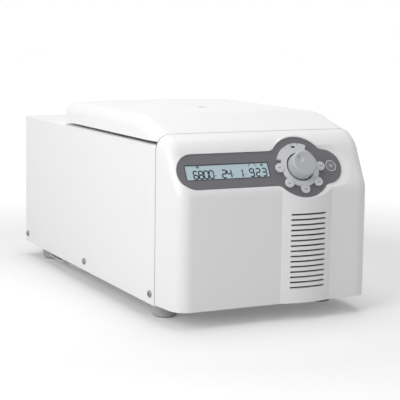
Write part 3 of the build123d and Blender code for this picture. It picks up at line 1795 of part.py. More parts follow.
# Power board on studs beside the motor, with its transformer, heat sink and capacitors
board_foot = base_top + stud_height
with BuildPart() as power_board:
    with BuildSketch(Plane.XY.offset(board_foot)):
        with Locations(power_board_middle):
            Rectangle(power_board_width, power_board_length)
    extrude(amount=board_thickness)
    with BuildSketch(Plane.XY.offset(base_top)):
        with Locations(power_board_middle):
            with GridLocations(
                power_board_width - 2 * boss_radius,
                power_board_length - 2 * boss_radius,
                2,
                2,
            ):
                Circle(boss_radius)
    extrude(amount=stud_height)
    for shift_x, shift_y, size_x, size_y, tall in power_board_blocks:
        with BuildSketch(Plane.XY.offset(board_foot)):
            with Locations((power_board_middle[0] + shift_x, power_board_middle[1] + shift_y)):
                RectangleRounded(size_x, size_y, 2)
        extrude(amount=board_thickness + tall)
save(power_board.part, "power_board")

# Filter drier: a copper can with drawn ends
drier_start = (drier_x, drier_y - drier_length / 2, drier_z)
drier_axis = Axis(drier_start, (0, 1, 0))
with BuildPart() as filter_drier:
    with BuildSketch(Plane(origin=drier_start, x_dir=(0, 1, 0), z_dir=(1, 0, 0))):
        with BuildLine():
            Polyline(
                (0, 0),
                (0, line_radius),
                (drier_neck, line_radius),
                (2 * drier_neck, drier_radius),
                (drier_length - 2 * drier_neck, drier_radius),
                (drier_length - drier_neck, line_radius),
                (drier_length, line_radius),
                (drier_length, 0),
                close=True,
            )
        make_face()
    revolve(axis=drier_axis)

# Clip that holds the drier over the base plate
with BuildPart() as drier_clip:
    with BuildSketch(Plane.XZ.offset(-drier_y - drier_clip_width / 2)):
        with Locations((drier_x, (base_top + drier_z) / 2)):
            Rectangle(sheet, drier_z - base_top)
        with Locations((drier_x, base_top)):
            Rectangle(
                drier_clip_foot,
                sheet,
                align=(Align.CENTER, Align.MIN),
            )
        with Locations((drier_x, drier_z)):
            Circle(drier_radius + touch_gap + sheet)
            Circle(drier_radius + touch_gap, mode=Mode.SUBTRACT)
    extrude(amount=drier_clip_width)
save(drier_clip.part, "drier_clip")


def pipe(points, bend):
    """A copper line along straight runs joined by round bends."""
    with BuildPart() as run:
        with BuildLine() as route:
            FilletPolyline(*points, radius=bend)
        with BuildSketch(Plane(origin=route.line @ 0, z_dir=route.line % 0)):
            Circle(line_radius - touch_gap)
        sweep(path=route.line)
    return run.part


# Refrigerant lines: compressor to condenser, condenser to drier, drier and suction to the coil
condenser_low_z = fan_z - (condenser_rows - 1) / 2 * condenser_height / condenser_rows
condenser_high_z = fan_z + (condenser_rows - 1) / 2 * condenser_height / condenser_rows
condenser_mid_y = condenser_front + condenser_depth / 2
condenser_left = fan_x - condenser_width / 2 - touch_gap
line_foot = insulation_bottom - fit_gap
discharge_line = [
    (compressor_x, compressor_y, compressor_top + touch_gap),
    (compressor_x, compressor_y, pipe_high_z),
    (compressor_x, condenser_mid_y, pipe_high_z),
    (pipe_drop_x, condenser_mid_y, pipe_high_z),
    (pipe_drop_x, condenser_mid_y, condenser_high_z),
    (condenser_left, condenser_mid_y, condenser_high_z),
]
liquid_line = [
    (condenser_left, condenser_mid_y, condenser_low_z),
    (condenser_left - pipe_reach, condenser_mid_y, condenser_low_z),
    (condenser_left - pipe_reach, condenser_front - 2 * pipe_bend, condenser_low_z),
    (drier_x, condenser_front - 2 * pipe_bend, condenser_low_z),
    (drier_x, condenser_front - 2 * pipe_bend, drier_z),
    (drier_x, drier_y + drier_length / 2, drier_z),
]
feed_line = [
    (drier_x, drier_y - drier_length / 2, drier_z),
    (drier_x, line_turn_y, drier_z),
    (drier_x, line_turn_y, line_foot),
]
suction_line = [
    (suction_x, line_turn_y, line_foot),
    (suction_x, line_turn_y, suction_z),
    (suction_x, suction_turn_y, suction_z),
    (compressor_x, suction_turn_y, suction_z),
    (compressor_x, compressor_y - compressor_radius - touch_gap, suction_z),
]
with BuildPart() as refrigerant_lines:
    add(filter_drier.part)
    for points in (discharge_line, liquid_line, feed_line, suction_line):
        add(pipe(points, pipe_bend))
save(refrigerant_lines.part, "refrigerant_lines")
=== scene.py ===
"""Studio scene of a refrigerated microcentrifuge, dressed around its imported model."""

import logging
import math
from dataclasses import dataclass, field
from enum import Enum
from typing import ClassVar

import bpy
from mathutils import Matrix, Vector


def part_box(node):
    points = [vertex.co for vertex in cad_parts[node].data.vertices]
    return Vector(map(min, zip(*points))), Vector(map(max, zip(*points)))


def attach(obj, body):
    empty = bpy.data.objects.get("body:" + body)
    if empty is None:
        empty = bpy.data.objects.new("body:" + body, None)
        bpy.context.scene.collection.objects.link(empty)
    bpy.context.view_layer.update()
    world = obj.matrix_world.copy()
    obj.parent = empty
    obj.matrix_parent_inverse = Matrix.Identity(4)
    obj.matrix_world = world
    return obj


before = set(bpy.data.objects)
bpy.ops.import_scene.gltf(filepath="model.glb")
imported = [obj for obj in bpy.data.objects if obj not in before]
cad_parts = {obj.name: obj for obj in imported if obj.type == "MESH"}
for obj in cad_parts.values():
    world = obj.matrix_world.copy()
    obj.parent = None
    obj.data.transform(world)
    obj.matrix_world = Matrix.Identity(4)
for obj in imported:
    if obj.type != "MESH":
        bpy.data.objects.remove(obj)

log = logging.getLogger("microcentrifuge")
MM = 0.001


def linear(rgb: tuple[int, int, int]) -> tuple[float, float, float, float]:
    """Turn a display colour into the linear colour that a shader takes.

    Args:
        rgb: Red, green and blue from 0 to 255.

    Returns:
        The linear colour with full alpha.
    """
    values = []
    for part in rgb:
        share = part / 255
        values.append(share / 12.92 if share <= 0.04045 else ((share + 0.055) / 1.055) ** 2.4)
    return (*values, 1.0)


def deselect() -> None:
    """Leave edit mode and deselect every object."""
    if bpy.context.object and bpy.context.object.mode != "OBJECT":
        bpy.ops.object.mode_set(mode="OBJECT")
    bpy.ops.object.select_all(action="DESELECT")


def activate(piece: bpy.types.Object) -> None:
    """Make one object the only selected and active one.

    Args:
        piece: The object to select.
    """
    deselect()
    piece.select_set(True)
    bpy.context.view_layer.objects.active = piece


def settle(piece: bpy.types.Object, place: Matrix) -> None:
    """Put a piece at its place and apply the place to its mesh.

    Args:
        piece: The piece, modelled flat about the origin.
        place: Where the piece's own axes go.
    """
    piece.matrix_world = place @ piece.matrix_world
    activate(piece)
    bpy.ops.object.transform_apply(location=True, rotation=True, scale=True)


def joined(pieces: list[bpy.types.Object], name: str) -> bpy.types.Object:
    """Join pieces into one object at the origin.

    Args:
        pieces: The objects to join.
        name: The joined object's name.

    Returns:
        The joined object.
    """
    deselect()
    for piece in pieces:
        piece.select_set(True)
    bpy.context.view_layer.objects.active = pieces[0]
    bpy.ops.object.transform_apply(location=True, rotation=True, scale=True)
    if len(pieces) > 1:
        bpy.ops.object.join()
    whole = bpy.context.object
    whole.name = name
    whole.data.name = name
    return whole


def copied(piece: bpy.types.Object, x: float, y: float, turn: float = 0.0) -> bpy.types.Object:
    """Copy a flat piece with its own mesh.

    Args:
        piece: The piece to copy.
        x: Place of the copy along X, in metres.
        y: Place of the copy along Y, in metres.
        turn: Turn about Z, in degrees.

    Returns:
        The copy.
    """
    twin = piece.copy()
    twin.data = piece.data.copy()
    bpy.context.collection.objects.link(twin)
    twin.matrix_world = Matrix.Translation((x, y, 0)) @ Matrix.Rotation(math.radians(turn), 4, "Z")
    return twin


def seen_rays(tree: bpy.types.NodeTree) -> bpy.types.NodeSocket:
    """Mark the rays that show a surface as it is: camera, glossy and transmission rays.

    Args:
        tree: The node tree of the floor or of the world.

    Returns:
        A socket that is 1 for these rays and 0 for the others.
    """
    path = tree.nodes.new("ShaderNodeLightPath")
    mirrored = tree.nodes.new("ShaderNodeMath")
    mirrored.operation = "MAXIMUM"
    seen = tree.nodes.new("ShaderNodeMath")
    seen.operation = "MAXIMUM"
    tree.links.new(path.outputs["Is Camera Ray"], mirrored.inputs[0])
    tree.links.new(path.outputs["Is Glossy Ray"], mirrored.inputs[1])
    tree.links.new(mirrored.outputs[0], seen.inputs[0])
    tree.links.new(path.outputs["Is Transmission Ray"], seen.inputs[1])
    return seen.outputs[0]


def thickened(depth: float) -> None:
    """Extrude the active flat piece upwards into a closed plate.

    Args:
        depth: Thickness in metres.
    """
    bpy.ops.object.mode_set(mode="EDIT")
    bpy.ops.mesh.select_all(action="SELECT")
    bpy.ops.mesh.extrude_region_move(TRANSFORM_OT_translate={"value": (0, 0, depth)})
    bpy.ops.mesh.select_all(action="SELECT")
    bpy.ops.mesh.normals_make_consistent(inside=False)
    bpy.ops.object.mode_set(mode="OBJECT")


class GroupKit:
    """Node groups that several finishes share, built once."""

    def __init__(self) -> None:
        """Build the groups for tone, grain and brushed metal."""
        self.tone = self._tone()
        self.grain = self._grain()
        self.brushed = self._brushed()

    @staticmethod
    def _blank(
        name: str,
        inputs: tuple[tuple[str, str], ...],
        outputs: tuple[tuple[str, str], ...],
    ) -> tuple[bpy.types.NodeTree, bpy.types.Node, bpy.types.Node]:
        """Start a shader group with its sockets.

        Args:
            name: Name of the group.
            inputs: Names and kinds of the input sockets.
            outputs: Names and kinds of the output sockets.

        Returns:
            The group, its input node and its output node.
        """
        tree = bpy.data.node_groups.new(name, "ShaderNodeTree")
        for label, kind in inputs:
            tree.interface.new_socket(label, in_out="INPUT", socket_type=kind)
        for label, kind in outputs:
            tree.interface.new_socket(label, in_out="OUTPUT", socket_type=kind)
        return tree, tree.nodes.new("NodeGroupInput"), tree.nodes.new("NodeGroupOutput")

    def _tone(self) -> bpy.types.NodeTree:
        """Build the slow change of colour over a surface.

        Returns:
            The group.
        """
        tree, take, give = self._blank(
            "tone",
            (
                ("Color", "NodeSocketColor"),
                ("Shift", "NodeSocketFloat"),
                ("Scale", "NodeSocketFloat"),
            ),
            (("Color", "NodeSocketColor"), ("Mask", "NodeSocketFloat")),
        )
        nodes, links = tree.nodes, tree.links
        where = nodes.new("ShaderNodeTexCoord")
        cloud = nodes.new("ShaderNodeTexNoise")
        cloud.inputs["Detail"].default_value = 5.0
        cloud.inputs["Roughness"].default_value = 0.6
        centred = nodes.new("ShaderNodeMath")
        centred.operation = "SUBTRACT"
        centred.inputs[1].default_value = 0.5
        share = nodes.new("ShaderNodeMath")
        share.operation = "MULTIPLY_ADD"
        share.inputs[2].default_value = 1.0
        tinted = nodes.new("ShaderNodeVectorMath")
        tinted.operation = "SCALE"
        links.new(where.outputs["Object"], cloud.inputs["Vector"])
        links.new(take.outputs["Scale"], cloud.inputs["Scale"])
        links.new(cloud.outputs["Fac"], centred.inputs[0])
        links.new(centred.outputs[0], share.inputs[0])
        links.new(take.outputs["Shift"], share.inputs[1])
        links.new(take.outputs["Color"], tinted.inputs[0])
        links.new(share.outputs[0], tinted.inputs["Scale"])
        links.new(tinted.outputs[0], give.inputs["Color"])
        links.new(cloud.outputs["Fac"], give.inputs["Mask"])
        return tree

    def _grain(self) -> bpy.types.NodeTree:
        """Build the fine texture of moulded plastic, paint and rubber.

        Returns:
            The group.
        """
        tree, take, give = self._blank(
            "grain",
            (
                ("Scale", "NodeSocketFloat"),
                ("Roughness", "NodeSocketFloat"),
                ("Rough shift", "NodeSocketFloat"),
            ),
            (("Height", "NodeSocketFloat"), ("Roughness", "NodeSocketFloat")),
        )
        nodes, links = tree.nodes, tree.links
        where = nodes.new("ShaderNodeTexCoord")
        fine = nodes.new("ShaderNodeTexNoise")
        fine.inputs["Detail"].default_value = 2.0
        pits = nodes.new("ShaderNodeTexVoronoi")
        blend = nodes.new("ShaderNodeMath")
        blend.operation = "MULTIPLY_ADD"
        blend.inputs[1].default_value = 0.4
        slow = nodes.new("ShaderNodeTexNoise")
        slow.inputs["Scale"].default_value = 35.0
        slow.inputs["Detail"].default_value = 6.0
        centred = nodes.new("ShaderNodeMath")
        centred.operation = "SUBTRACT"
        centred.inputs[1].default_value = 0.5
        rough = nodes.new("ShaderNodeMath")
        rough.operation = "MULTIPLY_ADD"
        for texture in (fine, pits, slow):
            links.new(where.outputs["Object"], texture.inputs["Vector"])
        links.new(take.outputs["Scale"], fine.inputs["Scale"])
        links.new(take.outputs["Scale"], pits.inputs["Scale"])
        links.new(pits.outputs["Distance"], blend.inputs[0])
        links.new(fine.outputs["Fac"], blend.inputs[2])
        links.new(blend.outputs[0], give.inputs["Height"])
        links.new(slow.outputs["Fac"], centred.inputs[0])
        links.new(centred.outputs[0], rough.inputs[0])
        links.new(take.outputs["Rough shift"], rough.inputs[1])
        links.new(take.outputs["Roughness"], rough.inputs[2])
        links.new(rough.outputs[0], give.inputs["Roughness"])
        return tree

    def _brushed(self) -> bpy.types.NodeTree:
        """Build the fine lines that a brush or a die leaves on metal.

        Returns:
            The group.
        """
        tree, take, give = self._blank(
            "brushed",
            (
                ("Stretch", "NodeSocketVector"),
                ("Roughness", "NodeSocketFloat"),
                ("Rough shift", "NodeSocketFloat"),
            ),
            (("Height", "NodeSocketFloat"), ("Roughness", "NodeSocketFloat")),
        )
        nodes, links = tree.nodes, tree.links
        where = nodes.new("ShaderNodeTexCoord")
        drawn = nodes.new("ShaderNodeVectorMath")
        drawn.operation = "MULTIPLY"
        lines = nodes.new("ShaderNodeTexNoise")
        lines.inputs["Scale"].default_value = 1.0
        lines.inputs["Detail"].default_value = 3.0
        centred = nodes.new("ShaderNodeMath")
        centred.operation = "SUBTRACT"
        centred.inputs[1].default_value = 0.5
        rough = nodes.new("ShaderNodeMath")
        rough.operation = "MULTIPLY_ADD"
        links.new(where.outputs["Object"], drawn.inputs[0])
        links.new(take.outputs["Stretch"], drawn.inputs[1])
        links.new(drawn.outputs[0], lines.inputs["Vector"])
        links.new(lines.outputs["Fac"], give.inputs["Height"])
        links.new(lines.outputs["Fac"], centred.inputs[0])
        links.new(centred.outputs[0], rough.inputs[0])
        links.new(take.outputs["Rough shift"], rough.inputs[1])
        links.new(take.outputs["Roughness"], rough.inputs[2])
        links.new(rough.outputs[0], give.inputs["Roughness"])
        return tree


@dataclass(frozen=True)
class Finish:
    """One procedural finish: slow tone, fine grain or brush lines, and gloss."""

    label: str
    rgb: tuple[int, int, int]
    roughness: float
    metallic: float = 0.0
    tone_shift: float = 0.05
    tone_scale: float = 14.0
    grain_scale: float = 1400.0
    grain_depth: float = 0.00004
    rough_shift: float = 0.12
    stretch: tuple[float, float, float] | None = None
    coat: float = 0.0
    transmission: float = 0.0
    glow: float = 0.0

    def build(self, kit: GroupKit) -> bpy.types.Material:
        """Make the material.

        Args:
            kit: The shared node groups.

        Returns:
            The material.
        """
        material = bpy.data.materials.new(self.label)
        material.use_nodes = True
        nodes, links = material.node_tree.nodes, material.node_tree.links
        surface = nodes["Principled BSDF"]
        surface.inputs["Metallic"].default_value = self.metallic
        surface.inputs["Coat Weight"].default_value = self.coat
        surface.inputs["Coat Roughness"].default_value = 0.12
        surface.inputs["Transmission Weight"].default_value = self.transmission
        surface.inputs["Emission Strength"].default_value = self.glow
        tone = nodes.new("ShaderNodeGroup")
        tone.node_tree = kit.tone
        tone.inputs["Color"].default_value = linear(self.rgb)
        tone.inputs["Shift"].default_value = self.tone_shift
        tone.inputs["Scale"].default_value = self.tone_scale
        links.new(tone.outputs["Color"], surface.inputs["Base Color"])
        if self.glow:
            links.new(tone.outputs["Color"], surface.inputs["Emission Color"])
        texture = nodes.new("ShaderNodeGroup")
        if self.stretch:
            texture.node_tree = kit.brushed
            texture.inputs["Stretch"].default_value = self.stretch
        else:
            texture.node_tree = kit.grain
            texture.inputs["Scale"].default_value = self.grain_scale
        texture.inputs["Roughness"].default_value = self.roughness
        texture.inputs["Rough shift"].default_value = self.rough_shift
        links.new(texture.outputs["Roughness"], surface.inputs["Roughness"])
        bump = nodes.new("ShaderNodeBump")
        bump.inputs["Strength"].default_value = 0.6
        bump.inputs["Distance"].default_value = self.grain_depth
        links.new(texture.outputs["Height"], bump.inputs["Height"])
        links.new(bump.outputs["Normal"], surface.inputs["Normal"])
        return material


class Look(Enum):
    """The finishes of this machine."""

    CASE_PAINT = Finish("case_paint", (240, 240, 241), 0.42, tone_shift=0.03, grain_scale=900.0)
    COVER_PLASTIC = Finish("cover_plastic", (238, 238, 239), 0.38, tone_shift=0.025, coat=0.08)
    LID_PLASTIC = Finish("lid_plastic", (241, 241, 241), 0.36, tone_shift=0.025, coat=0.1)
    CHANNEL_PAINT = Finish("channel_paint", (228, 229, 231), 0.5)
    SHEET_METAL = Finish(
        "sheet_metal", (188, 190, 192), 0.38, metallic=0.9, stretch=(40.0, 900.0, 900.0)
    )
    BOWL_STEEL = Finish(
        "bowl_steel", (198, 200, 203), 0.28, metallic=0.95, stretch=(120.0, 120.0, 1800.0)
    )
    LINER_METAL = Finish(
        "liner_metal", (208, 210, 212), 0.35, metallic=0.8, stretch=(1500.0, 60.0, 1500.0)
    )
    BRIGHT_STEEL = Finish(
        "bright_steel", (206, 207, 209), 0.22, metallic=1.0, stretch=(900.0, 900.0, 200.0)
    )
    SCREW_STEEL = Finish("screw_steel", (150, 151, 154), 0.34, metallic=0.85, grain_scale=2400.0)
    PANEL_FILM = Finish(
        "panel_film", (107, 106, 111), 0.46, tone_shift=0.04, grain_scale=3200.0
    )
    KEY_PLASTIC = Finish(
        "key_plastic", (212, 214, 216), 0.42, tone_shift=0.03, grain_scale=2600.0
    )
    KNOB_PLASTIC = Finish(
        "knob_plastic", (184, 185, 187), 0.34, tone_shift=0.03, grain_scale=2600.0, coat=0.15
    )
    START_PLASTIC = Finish("start_plastic", (122, 121, 126), 0.42, grain_scale=2600.0)
    PRINT_LIGHT = Finish("print_light", (212, 213, 216), 0.5, grain_scale=4000.0)
    PRINT_GREY = Finish("print_grey", (128, 129, 134), 0.5, grain_scale=4000.0)
    LAMP = Finish("lamp", (38, 40, 44), 0.2, coat=0.4, grain_scale=3000.0)
    DISPLAY = Finish(
        "display", (160, 180, 188), 0.16, tone_shift=0.1, tone_scale=30.0, coat=0.5, glow=0.25,
        grain_scale=5000.0, grain_depth=0.000004,
    )
    DISPLAY_INK = Finish("display_ink", (28, 36, 42), 0.3, grain_scale=5000.0)
    # Near-black frame round the display: painted shade of the display's recess.
    RECESS_SHADE = Finish("recess_shade", (52, 54, 58), 0.4, grain_scale=3000.0)
    DARK_PLASTIC = Finish("dark_plastic", (44, 45, 48), 0.44, tone_shift=0.12)
    FOOT_RUBBER = Finish(
        "foot_rubber", (176, 177, 179), 0.72, tone_shift=0.1, grain_scale=1100.0,
        grain_depth=0.0001,
    )
    SEAL_RUBBER = Finish(
        "seal_rubber", (58, 58, 60), 0.7, tone_shift=0.15, grain_scale=1100.0,
        grain_depth=0.0001,
    )
    # Mid-grey for the bead that darkens the seam line round the front cover.
    SEAM_GREY = Finish("seam_grey", (148, 149, 152), 0.6, grain_scale=1800.0)
    PORT_GLASS = Finish(
        "port_glass", (214, 222, 226), 0.08, transmission=0.75, grain_depth=0.000004
    )
    CIRCUIT = Finish(
        "circuit", (34, 92, 58), 0.4, tone_shift=0.5, tone_scale=160.0, grain_scale=600.0
    )
    COPPER = Finish(
        "copper", (186, 118, 82), 0.3, metallic=1.0, tone_shift=0.25, tone_scale=40.0,
        stretch=(500.0, 500.0, 500.0),
    )
    FOAM = Finish(
        "foam", (224, 208, 160), 0.85, tone_shift=0.2, grain_scale=420.0, grain_depth=0.0005
    )
    ROTOR_METAL = Finish(
        "rotor_metal", (96, 99, 104), 0.34, metallic=0.8, stretch=(200.0, 200.0, 2200.0)
    )
    ROTOR_COVER = Finish(
        "rotor_cover", (196, 198, 201), 0.3, metallic=0.9, stretch=(200.0, 200.0, 2200.0)
    )
    MOTOR_PAINT = Finish("motor_paint", (46, 47, 50), 0.4, tone_shift=0.15)
    FIN_METAL = Finish(
        "fin_metal", (196, 198, 200), 0.36, metallic=0.9, stretch=(60.0, 800.0, 60.0)
    )
    BRASS = Finish("brass", (206, 178, 104), 0.28, metallic=1.0, stretch=(900.0, 80.0, 900.0))


NODE_LOOKS: dict[Look, tuple[str, ...]] = {
    Look.CASE_PAINT: ("case_shell", "rear_panel"),
    Look.COVER_PLASTIC: ("front_cover",),
    Look.LID_PLASTIC: ("lid_shell",),
    Look.CHANNEL_PAINT: ("base_channels",),
    Look.SHEET_METAL: (
        "base_plate", "front_bulkhead", "mid_bulkhead", "top_deck", "hinge_brackets",
        "motor_plate",
    ),
    Look.BOWL_STEEL: ("chamber_bowl",),
    Look.LINER_METAL: ("lid_liner",),
    Look.BRIGHT_STEEL: (
        "hinge_pins", "hinge_arms", "lid_striker", "latch_hook", "encoder_plunger",
        "encoder_shaft", "motor_shaft", "fan_guard",
    ),
    Look.SCREW_STEEL: ("case_screws", "cover_screws"),
    Look.PANEL_FILM: ("control_panel",),
    Look.KEY_PLASTIC: ("keypad_ring", "key_1", "key_2", "key_3", "key_4", "key_5"),
    Look.KNOB_PLASTIC: ("knob",),
    Look.START_PLASTIC: ("start_key",),
    Look.LAMP: ("status_lamp",),
    Look.DISPLAY: ("display_module",),
    Look.CIRCUIT: ("display_board", "power_board"),
    Look.DARK_PLASTIC: (
        "vent_screen", "encoder", "fan_housing", "fan_blades", "power_inlet", "switch_body",
        "power_rocker", "lock_housing",
    ),
    Look.FOOT_RUBBER: ("feet",),
    Look.SEAL_RUBBER: ("motor_mounts", "compressor_mounts", "chamber_seal"),
    Look.PORT_GLASS: ("lid_port_lens",),
    Look.COPPER: ("evaporator_coil", "refrigerant_lines", "drier_clip"),
    Look.FOAM: ("insulation",),
    Look.ROTOR_METAL: ("rotor", "rotor_nut"),
    Look.ROTOR_COVER: ("rotor_lid",),
    Look.MOTOR_PAINT: ("motor", "compressor"),
    Look.FIN_METAL: ("condenser",),
    Look.BRASS: ("inlet_pins",),
}


class Workshop:
    """Builds each finish once and lays it on nodes and pieces."""

    def __init__(self) -> None:
        """Build the shared groups and start with no materials."""
        self.kit = GroupKit()
        self.made: dict[Look, bpy.types.Material] = {}

    def material(self, look: Look) -> bpy.types.Material:
        """Give the material of a look.

        Args:
            look: The finish wanted.

        Returns:
            Its material, built on first use.
        """
        if look not in self.made:
            self.made[look] = look.value.build(self.kit)
        return self.made[look]

    def dress_nodes(self) -> None:
        """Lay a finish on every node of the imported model."""
        for look, names in NODE_LOOKS.items():
            for name in names:
                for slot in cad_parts[name].material_slots:
                    slot.material = self.material(look)
        bare = set(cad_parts) - {n for names in NODE_LOOKS.values() for n in names}
        if bare:
            raise ValueError(f"no finish for {sorted(bare)}")
        log.info("dressed %d nodes", len(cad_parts))

    def dress(self, piece: bpy.types.Object, look: Look, body: str) -> None:
        """Finish a new piece and say what it rides on.

        Args:
            piece: The new piece.
            look: Its finish.
            body: The body that it rides on.
        """
        piece.data.materials.clear()
        piece.data.materials.append(self.material(look))
        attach(piece, body)
        log.info("%s rides on %s", piece.name, body)


@dataclass
class ControlFace:
    """The sloping face of the front cover, with the display, the keys and the prints on it."""

    origin: tuple[float, float, float] = (0.0, -0.266, 0.168)
    tilt: float = 30.0
    display_left: float = -119.0 * MM
    display_right: float = -4.7 * MM
    display_low: float = 13.1 * MM
    display_high: float = 33.4 * MM
    display_level: float = -1.5 * MM
    digit_width: float = 5.4 * MM
    digit_height: float = 10.0 * MM
    segment: float = 2.05 * MM
    corner_share: float = 0.3
    upright_share: float = 0.1
    digit_rise: float = 2.3 * MM
    sign_rise: float = 17.2 * MM
    sign_width: float = 0.8 * MM
    sign_long: float = 5.4 * MM
    sign_short: float = 3.4 * MM
    unit_dash: tuple[float, float] = (2.4 * MM, 0.7 * MM)
    unit_drop: float = -11.4 * MM
    ink: float = 0.04 * MM
    # Size of the dark frame round the display, which paints the shade of its recess.
    recess_shade_corner: float = 1.4 * MM
    recess_shade_width: float = 1.1 * MM
    recess_shade_height: float = 0.35 * MM
    recess_shade_lift: float = 0.01 * MM
    start_point: tuple[float, float] = (84.3 * MM, 24.5 * MM)
    start_level: float = -1.0 * MM
    start_ring: tuple[float, float] = (6.5 * MM, 7.5 * MM)
    start_bar: tuple[float, float] = (5.4 * MM, 0.7 * MM)
    start_bar_pitch: float = 1.6 * MM
    key_level: float = 1.9 * MM
    dial_point: tuple[float, float] = (38.5 * MM, 24.0 * MM)
    key_print_circle: float = 30.2 * MM
    key_dash: tuple[float, float] = (4.6 * MM, 0.6 * MM)
    key_dash_shift: float = 0.5 * MM
    key_angles: tuple[float, ...] = (180.0, 225.0, 270.0, 315.0, 0.0)
    numbers: tuple[tuple[float, str, float], ...] = field(
        default=((10.8, "6800", 7.0), (49.0, "24", 7.0), (71.4, "1", 7.0), (87.0, "923", 8.6))
    )

    strokes: ClassVar[dict[str, str]] = {
        "0": "abcdef", "1": "bc", "2": "abged", "3": "abgcd", "4": "fgbc",
        "6": "afgedc", "8": "abcdefg", "9": "abcdfg",
    }

    def place(self, x: float, y: float, level: float) -> Matrix:
        """Give the place of a point on the face.

        Args:
            x: Across the face, in metres.
            y: Up the slope, in metres.
            level: Height over the face, in metres.

        Returns:
            The matrix that takes flat pieces there.
        """
        tilt = math.radians(90 - self.tilt)
        face = Matrix.Translation(self.origin) @ Matrix.Rotation(tilt, 4, "X")
        return face @ Matrix.Translation((x, y, level))

    def stroke(self, length: float, width: float) -> bpy.types.Object:
        """Model one pointed stroke along X.

        Args:
            length: Length between its points, in metres.
            width: Width in metres.

        Returns:
            The stroke, a thin plate.
        """
        deselect()
        bpy.ops.mesh.primitive_circle_add(
            vertices=6, radius=width / 2, fill_type="NGON", rotation=(0, 0, math.radians(90))
        )
        piece = bpy.context.object
        bpy.ops.object.transform_apply(rotation=True)
        for side in (-1, 1):
            activate(piece)
            bpy.ops.object.mode_set(mode="EDIT")
            bpy.ops.mesh.select_mode(type="VERT")
            bpy.ops.mesh.select_all(action="DESELECT")
            bpy.ops.object.mode_set(mode="OBJECT")
            for vertex in piece.data.vertices:
                vertex.select = vertex.co.x * side > 0
            bpy.ops.object.mode_set(mode="EDIT")
            shift = side * (length - width) / 2
            bpy.ops.transform.translate(value=(shift, 0, 0))
            bpy.ops.object.mode_set(mode="OBJECT")
        activate(piece)
        thickened(self.ink)
        return piece

    def digits(self, shop: Workshop) -> None:
        """Model the numbers on the display.

        Args:
            shop: The workshop that finishes pieces.
        """
        wide, high, thick = self.digit_width, self.digit_height, self.segment
        across = self.stroke(wide - thick * self.corner_share, thick)
        up = self.stroke(high / 2 - thick * self.upright_share, thick)
        spots = {
            "a": (across, 0.5 * wide, high, 0), "d": (across, 0.5 * wide, 0, 0),
            "g": (across, 0.5 * wide, high / 2, 0), "b": (up, wide, 0.75 * high, 90),
            "c": (up, wide, 0.25 * high, 90), "e": (up, 0, 0.25 * high, 90),
            "f": (up, 0, 0.75 * high, 90),
        }
        made = []
        for left, number, pitch in self.numbers:
            for index, digit in enumerate(number):
                start = (left + index * pitch) * MM
                for name in self.strokes[digit]:
                    source, x, y, turn = spots[name]
                    made.append(copied(source, start + x, y, turn))
        for source in (across, up):
            bpy.data.objects.remove(source)
        piece = joined(made, "display_digits")
        low = self.display_low + self.digit_rise
        settle(piece, self.place(self.display_left, low, self.display_level))
        shop.dress(piece, Look.DISPLAY_INK, "housing")

    def icons(self, shop: Workshop) -> None:
        """Model the small signs over the numbers, a rotor, a lid and a lock, and the unit dashes.

        Args:
            shop: The workshop that finishes pieces.
        """
        short = self.stroke(self.sign_short, self.sign_width)
        long = self.stroke(self.sign_long, self.sign_width)
        dash = self.stroke(*self.unit_dash)
        made = []
        for angle in (0, 60, 120):
            made.append(copied(long, 18.0 * MM, 0.4 * MM, angle))
        for x, angle in ((88.0, 50), (96.0, -50)):
            made.append(copied(long, x * MM, 0.2 * MM, angle))
        for x in (103.9, 106.5):
            made.append(copied(short, x * MM, 1.0 * MM, 90))
        for y in (-1.2, -0.5, 0.2):
            made.append(copied(short, 105.2 * MM, y * MM, 0))
        for x in (39.6, 63.6, 80.6):
            made.append(copied(dash, x * MM, self.unit_drop, 0))
        for source in (short, long, dash):
            bpy.data.objects.remove(source)
        piece = joined(made, "display_signs")
        low = self.display_low + self.sign_rise
        settle(piece, self.place(self.display_left, low, self.display_level))
        shop.dress(piece, Look.DISPLAY_INK, "housing")

    def recess_shade(self, shop: Workshop) -> None:
        """Model a dark frame round the display's window: painted shade of the window's recess.

        Args:
            shop: The workshop that finishes pieces.
        """
        wide = self.display_right - self.display_left
        high = self.display_high - self.display_low
        deselect()
        bpy.ops.mesh.primitive_plane_add(size=1.0)
        piece = bpy.context.object
        piece.scale = (wide, high, 1.0)
        bpy.ops.object.transform_apply(scale=True)
        bpy.ops.object.mode_set(mode="EDIT")
        bpy.ops.mesh.bevel(offset=self.recess_shade_corner, segments=5, affect="VERTICES")
        bpy.ops.mesh.select_all(action="SELECT")
        bpy.ops.mesh.inset(thickness=self.recess_shade_width)
        bpy.ops.mesh.delete(type="FACE")
        bpy.ops.object.mode_set(mode="OBJECT")
        thickened(self.recess_shade_height)
        piece.name = "display_recess_shade"
        middle = (self.display_left + self.display_right) / 2
        rise = (self.display_low + self.display_high) / 2
        settle(piece, self.place(middle, rise, self.display_level + self.recess_shade_lift))
        # The dark frame paints the shade that the recess would cast on the display.
        shop.dress(piece, Look.RECESS_SHADE, "housing")

    def ring(self, inner: float, outer: float, name: str) -> bpy.types.Object:
        """Model a flat printed ring.

        Args:
            inner: Inner radius in metres.
            outer: Outer radius in metres.
            name: Name of the piece.

        Returns:
            The ring about the origin.
        """
        deselect()
        bpy.ops.mesh.primitive_circle_add(vertices=64, radius=outer, fill_type="NGON")
        piece = bpy.context.object
        bpy.ops.object.mode_set(mode="EDIT")
        bpy.ops.mesh.select_all(action="SELECT")
        bpy.ops.mesh.inset(thickness=outer - inner)
        bpy.ops.mesh.delete(type="FACE")
        bpy.ops.object.mode_set(mode="OBJECT")
        thickened(self.ink)
        piece.name = name
        return piece

